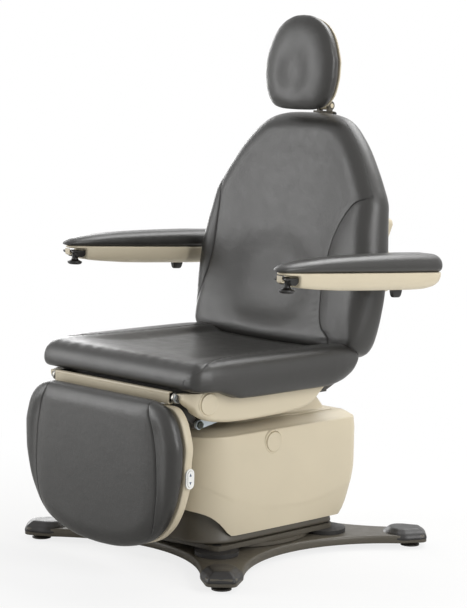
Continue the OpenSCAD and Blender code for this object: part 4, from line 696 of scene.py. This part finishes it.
def turned_solid(name, profile, centre, body, slot, mat, matrix=WORLD, n=40, stretch=(1, 1), **k):
    """Solid of revolution about a vertical line: the profile gives (radius, height)."""
    loops = [[(centre[0] + rad * math.cos(t) * stretch[0], centre[1] + rad * math.sin(t) * stretch[1], centre[2] + z)
              for t in np.linspace(0, 2 * math.pi, n, endpoint=False)] for rad, z in profile]
    return rings(name, loops, body, slot, mat, matrix=matrix, **k)


def box_ring(half_x, half_y, round_r, z, centre=(0, 0), n=5):
    """Rectangle with round corners at height z."""
    out = []
    for k, (sx, sy) in enumerate(((1, -1), (1, 1), (-1, 1), (-1, -1))):
        cx, cy = centre[0] + sx * (half_x - round_r), centre[1] + sy * (half_y - round_r)
        for t in np.linspace(-90 + 90 * k, 90 * k, n):
            out.append((cx + round_r * math.cos(math.radians(t)), cy + round_r * math.sin(math.radians(t)), z))
    return out


for side, word in ((1, "left"), (-1, "right")):
    A = Matrix.Translation((side * 0.400, 0.318, 0.718)) @ Matrix.Rotation(math.radians(-3.3), 4, "X")
    body = "arm_" + word
    pad("arm_shell_skin_" + word, body, "arm_shell_" + word, A, [(y, -h, h) for y, h in ARM_SHELL], ARM_LOW, flat(0.0185), flat(0.0217),
        0.003, lambda y: 0.016 + 0.010 * step(-0.45, -0.30, y), "beige_shell", beige, m=150, p_low=2.6)
    # Latch under the tip: a dark block with a hook, and a pale tongue under it
    hook = rounded([(-0.5370, 0.0095, 0.001), (-0.5380, 0.0050, 0.002), (-0.5330, 0.0020, 0.002), (-0.5250, 0.0040, 0.002),
                    (-0.5180, -0.0080, 0.003), (-0.5020, -0.0085, 0.003), (-0.4935, -0.0020, 0.003), (-0.4935, 0.0095, 0.001)], 4)
    for end, (lo, hi) in (("inner", (0.0095, 0.0215)), ("outer", (-0.0215, -0.0095))):
        along("latch_%s_%s" % (word, end), hook, lo, hi, 0.0015, body, "charcoal_plastic", black, matrix=A, replaces=("arm_shell_" + word,))
    along("latch_tongue_" + word, rounded([(-0.5410, 0.0145, 0.001), (-0.5400, -0.0010, 0.004), (-0.5330, -0.0040, 0.003), (-0.5290, -0.0010, 0.002),
                                           (-0.5310, 0.0030, 0.002), (-0.5385, 0.0060, 0.002), (-0.5390, 0.0145, 0.001)], 4),
          -0.0090, 0.0090, 0.0012, body, "beige_shell", beige, matrix=A, replaces=("arm_shell_" + word,))
    # Trigger: an oval disc on a stem
    turned_solid("trigger_skin_" + word, [(0.0015, -0.0295), (0.0130, -0.0290), (0.0180, -0.0272), (0.0203, -0.0240), (0.0206, -0.0220), (0.0198, -0.0205),
                                          (0.0160, -0.0190), (0.0110, -0.0168), (0.0092, -0.0135), (0.0088, 0.0000), (0.0088, 0.0060)],
                 (0, -0.5125, 0), "trigger_" + word, "charcoal_plastic", black, matrix=A, stretch=(0.9, 1.0), replaces=("arm_trigger_" + word,))
    # Stop under the rear
    sx = side * 0.0125
    rings("stop_skin_" + word, [box_ring(0.0075, 0.0180, 0.003, -0.0215, (sx, -0.127)), box_ring(0.0072, 0.0172, 0.003, -0.0300, (sx, -0.127)),
                                box_ring(0.0066, 0.0155, 0.0035, -0.0375, (sx, -0.127)), box_ring(0.0058, 0.0138, 0.004, -0.0415, (sx, -0.127)),
                                box_ring(0.0040, 0.0110, 0.003, -0.0437, (sx, -0.127))], body, "charcoal_plastic", black, matrix=A,
          replaces=("arm_stop_" + word,))

# Cover of the arms' cross shaft, on the back shell
YOKE = spline([(0.1965, 0.190), (0.2000, 0.212), (0.215, 0.255), (0.2575, 0.285), (0.29, 0.264), (0.32, 0.246), (0.350, 0.242), (0.375, 0.251),
               (0.39, 0.2570), (0.403, 0.253), (0.4070, 0.243)])
loops = []
for y, rear in ((0.1965, 0.0640), (0.1980, 0.0700), (0.2030, 0.0745), (0.2150, 0.0760), (0.2350, 0.0760), (0.2575, 0.0760), (0.2750, 0.0760),
                (0.2950, 0.0745), (0.3200, 0.0700), (0.3500, 0.0660), (0.3750, 0.0640), (0.3900, 0.0620), (0.4000, 0.0590), (0.4050, 0.0555), (0.4070, 0.0500)):
    loops.append([(x, y, z) for x, z, _ in box_ring(float(YOKE(y)), (rear - 0.034) / 2, 0.010 if rear > 0.060 else 0.007, 0, (0, -(rear + 0.034) / 2))])
rings("shaft_cover", loops, "back", "beige_shell", beige, matrix=BACK, replaces=("arm_yoke",), smooth=50)

# Front bar with a lip line, hinge brackets with nuts, crank bolts
BAR = np.array([(-0.4100, 0.4465), (-0.4092, 0.4453), (-0.4078, 0.4450), (-0.3970, 0.4450), (-0.3965, 0.4460), (-0.3970, 0.4485), (-0.4065, 0.4485),
                (-0.4065, 0.4715), (-0.3970, 0.4715), (-0.3965, 0.4735), (-0.3975, 0.4750), (-0.4080, 0.4750), (-0.4093, 0.4745), (-0.4100, 0.4733),
                (-0.4100, 0.4702), (-0.4090, 0.4696), (-0.4090, 0.4690), (-0.4100, 0.4684)])
along("front_bar", BAR[::-1], -0.2168, 0.2168, 0.0004, "leg", "beige_shell", beige, replaces=("front_panel",), smooth=35)
HEX = [(math.cos(t), math.sin(t)) for t in np.radians(np.arange(0, 360, 60) + 12)]
ROUND = [(math.cos(t), math.sin(t)) for t in np.radians(np.arange(0, 360, 10))]


def on_side(name, shape, at, r, x0, x1, bevel, side, body, slot, mat, **k):
    outline = np.array([(at[0] + r * a, at[1] + r * b) for a, b in shape])
    lo, hi = sorted((side * x0, side * x1))
    return along(name, outline, lo, hi, bevel, body, slot, mat, **k)


for side, word in ((1, "left"), (-1, "right")):
    lo, hi = sorted((side * 0.2222, side * 0.2318))
    along("hinge_loop_" + word, stadium((-0.358, 0.459), (-0.395, 0.460), 0.0135), lo, hi, 0.0022, "seat", "steel", steel, replaces=("hinge_brackets",))
    on_side("hinge_washer_" + word, ROUND, (-0.395, 0.460), 0.0108, 0.2318, 0.2332, 0.0004, side, "seat", "steel", bright, replaces=("hinge_brackets",))
    on_side("hinge_nut_" + word, HEX, (-0.395, 0.460), 0.0102, 0.2332, 0.2392, 0.0012, side, "seat", "dark_steel", dark, replaces=("hinge_brackets",),
            smooth=25)
    on_side("crank_washer_" + word, ROUND, (-0.304, 0.381), 0.0120, 0.2142, 0.2156, 0.0004, side, "leg", "steel", bright, replaces=("crank_bolts",))
    on_side("crank_bolt_" + word, HEX, (-0.304, 0.381), 0.0100, 0.2156, 0.2216, 0.0014, side, "leg", "dark_steel", bolt_green, replaces=("crank_bolts",),
            smooth=25)
    # Black disc on the bolt head: painted shade standing in for the shadowed recess, not a real hollow
    on_side("crank_bolt_recess_painted_shade_" + word, ROUND, (-0.304, 0.381), 0.0048, 0.2212, 0.2219, 0.0003, side, "leg", "charcoal_plastic", rubber,
            replaces=("crank_bolts",))
    # Lug under the seat's rear corner
    lo, hi = sorted((side * 0.2555, side * 0.2685))
    along("corner_lug_" + word, rounded([(0.093, 0.486, 0.002), (0.102, 0.456, 0.006), (0.112, 0.4485, 0.004), (0.138, 0.4485, 0.006), (0.146, 0.462, 0.004),
                                         (0.158, 0.486, 0.002)], 5), lo, hi, 0.002, "seat", "taupe_paint", taupe, replaces=("seat_shell",))

# Up and down marks on the rocker switch
lo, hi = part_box("switch_rocker")
mid_y, mid_z, reach = (lo.y + hi.y) / 2, (lo.z + hi.z) / 2, (hi.z - lo.z) / 2
for word, sign in (("up", 1), ("down", -1)):
    mark = np.array([(mid_y - 0.0036, mid_z + sign * reach * 0.34), (mid_y + 0.0036, mid_z + sign * reach * 0.34), (mid_y, mid_z + sign * reach * 0.72)])
    along("switch_mark_" + word, mark, hi.x - 0.0012, hi.x + 0.0004, 0.0001, "rocker", "white_plastic", navy)

# ---------------------------------------------------------------- star base
def star_outline():
    ux, uy = (0.533 + 0.036) / math.sqrt(2), (0.533 - 0.036) / math.sqrt(2)
    pts = []
    for k in range(4):
        a = k * math.pi / 2
        q = []
        px, py = (0.46 + 0.053) / math.sqrt(2), (0.46 - 0.053) / math.sqrt(2)
        r = ((px - 0.242) ** 2 + py * py) / (2 * (px - 0.242))
        top = math.asin(py / r)
        for t in np.linspace(-top, top, 40):
            q.append((0.242 + r - r * math.cos(t), r * math.sin(t)))
        e = rounded([(px, py, 0), (ux, uy, 0.016), (uy, ux, 0.016), (py, px, 0)], 8)
        q += [tuple(v) for v in e[1:-1]]
        pts += [(x * math.cos(a) - y * math.sin(a), x * math.sin(a) + y * math.cos(a)) for x, y in q]
    return np.array(pts)


star = even(star_outline(), 640)
prof = [(0.010, 0.0142), (0.003, 0.0142), (0.0008, 0.0150), (0, 0.017), (0, 0.0295), (0.0008, 0.0325), (0.0025, 0.0347), (0.005, 0.0358), (0.010, 0.0360)]
flat_rings("star_skin", star, prof, "base", "taupe_paint", taupe, replaces=("star_base",), smooth=60)

# Foot caps: a dome with a raised flat crown
for k, a in enumerate((45, 135, 225, 315)):
    M = Matrix.Rotation(math.radians(a - 90), 4, "Z")
    rows = [(0.4145, 0.0), (0.4155, 0.014), (0.419, 0.026), (0.428, 0.039), (0.440, 0.048), (0.456, 0.0535), (0.472, 0.0535), (0.50, 0.0455),
            (0.520, 0.0395), (0.5315, 0.0335), (0.5335, 0.026), (0.534, 0.0)]

    def crown(x, y, d):
        return 0.0048 * step(0.010, 0.026, d)
    pad("foot_cap_skin_%d" % k, "base", "foot_caps", M, [(y, -h, h) for y, h in rows], flat(0.0225), flat(0.0265), flat(0.0452),
        0.022, 0.002, "charcoal_plastic", black, shape=crown, m=60, p=1.7)

# ---------------------------------------------------------------- camera and light
az, el, dist, roll_deg = math.radians(45.832), math.radians(7.287), 5.406, math.radians(0.931)
fwd = Vector((-math.sin(az) * math.cos(el), math.cos(az) * math.cos(el), -math.sin(el)))
right0 = Vector((math.cos(az), math.sin(az), 0))
up0 = right0.cross(fwd)
right = right0 * math.cos(roll_deg) + up0 * math.sin(roll_deg)
up = right.cross(fwd)
flatf = Vector((-math.sin(az), math.cos(az), 0))
cam_at = -flatf * dist + right0 * 0.011 + Vector((0, 0, 1.328))
cam = bpy.data.cameras.new("camera")
cam_ob = bpy.data.objects.new("camera", cam)
scene.collection.objects.link(cam_ob)
cam_ob.matrix_world = Matrix((
    (right.x, up.x, -fwd.x, cam_at.x), (right.y, up.y, -fwd.y, cam_at.y), (right.z, up.z, -fwd.z, cam_at.z), (0, 0, 0, 1)))
cam.sensor_width = 36
cam.sensor_fit = "AUTO"
cam.lens = 36 * 2074.05 / 608
scene.camera = cam_ob
scene.view_settings.view_transform = "Standard"



def studio_world(lit, backdrop):
    """Soft light all round. The camera, gloss and glass see the white backdrop."""
    world = bpy.data.worlds.new("studio")
    scene.world = world
    world.use_nodes = True
    t = world.node_tree
    t.nodes.clear()
    out = t.nodes.new("ShaderNodeOutputWorld")
    mix = t.nodes.new("ShaderNodeMixShader")
    path = t.nodes.new("ShaderNodeLightPath")
    seen = t.nodes.new("ShaderNodeMath")
    seen.operation = "MAXIMUM"
    glass = t.nodes.new("ShaderNodeMath")
    glass.operation = "MAXIMUM"
    t.links.new(path.outputs["Is Camera Ray"], seen.inputs[0])
    t.links.new(path.outputs["Is Glossy Ray"], glass.inputs[0])
    t.links.new(path.outputs["Is Transmission Ray"], glass.inputs[1])
    t.links.new(glass.outputs[0], seen.inputs[1])
    for k, strength in enumerate((lit, backdrop)):
        bg = t.nodes.new("ShaderNodeBackground")
        bg.inputs["Strength"].default_value = strength
        t.links.new(bg.outputs[0], mix.inputs[k + 1])
        bg.inputs["Color"].default_value = (1, 1, 1, 1)
    t.links.new(seen.outputs[0], mix.inputs[0])
    t.links.new(mix.outputs[0], out.inputs[0])


def studio_floor(reach, near, far, glow):
    """Pale floor that keeps a faint shadow near the chair and runs out into the white backdrop."""
    me = bpy.data.meshes.new("floor")
    bm = bmesh.new()
    bmesh.ops.create_circle(bm, cap_ends=True, segments=96, radius=reach)
    bm.to_mesh(me)
    bm.free()
    ob = bpy.data.objects.new("floor", me)
    scene.collection.objects.link(ob)
    for v in me.vertices:
        v.co.z = -0.0004
    m = bpy.data.materials.new("pale_floor")
    m.use_nodes = True
    t = m.node_tree
    t.nodes.clear()
    out = t.nodes.new("ShaderNodeOutputMaterial")
    matt = t.nodes.new("ShaderNodeBsdfDiffuse")
    matt.inputs["Color"].default_value = (0.82, 0.82, 0.81, 1)
    white_glow = t.nodes.new("ShaderNodeEmission")
    path = t.nodes.new("ShaderNodeLightPath")
    place = t.nodes.new("ShaderNodeTexCoord")
    length = t.nodes.new("ShaderNodeVectorMath")
    length.operation = "LENGTH"
    ramp = t.nodes.new("ShaderNodeMapRange")
    ramp.interpolation_type = "SMOOTHSTEP"
    for k, v in enumerate((near, far, glow, 1.0)):
        ramp.inputs[k + 1].default_value = v
    camera_share = t.nodes.new("ShaderNodeMath")
    camera_share.operation = "MULTIPLY"
    mix = t.nodes.new("ShaderNodeMixShader")
    t.links.new(place.outputs["Object"], length.inputs[0])
    t.links.new(length.outputs["Value"], ramp.inputs[0])
    t.links.new(ramp.outputs[0], camera_share.inputs[0])
    t.links.new(path.outputs["Is Camera Ray"], camera_share.inputs[1])
    t.links.new(camera_share.outputs[0], mix.inputs[0])
    t.links.new(matt.outputs[0], mix.inputs[1])
    t.links.new(white_glow.outputs[0], mix.inputs[2])
    t.links.new(mix.outputs[0], out.inputs[0])
    me.materials.append(m)


def softbox(name, at, to, size, radiance, colour=(1, 1, 1)):
    """Rectangular lamp of even brightness: its power follows from its size."""
    lamp = bpy.data.lights.new(name, "AREA")
    lamp.shape = "RECTANGLE"
    lamp.size, lamp.size_y = size
    lamp.energy = radiance * math.pi * size[0] * size[1]
    lamp.color = colour
    o = bpy.data.objects.new(name, lamp)
    scene.collection.objects.link(o)
    o.location = at
    o.rotation_euler = (Vector(to) - Vector(at)).to_track_quat("-Z", "Y").to_euler()


studio_world(0.30, 1.0)
studio_floor(6.0, 0.7, 1.6, 0.80)
softbox("front_left", (-2.6, -2.9, 1.4), (0, 0, 0.75), (1.8, 2.5), 5.2)
softbox("right_side", (3.5, 0.3, 2.0), (0, 0, 0.6), (1.0, 2.6), 10.0)
softbox("top_rear", (0.1, 1.9, 3.1), (0, 0, 0.5), (2.4, 1.8), 5.4)
softbox("rear_left", (-3.2, 1.3, 1.2), (0, 0, 0.6), (1.4, 2.0), 4.5)
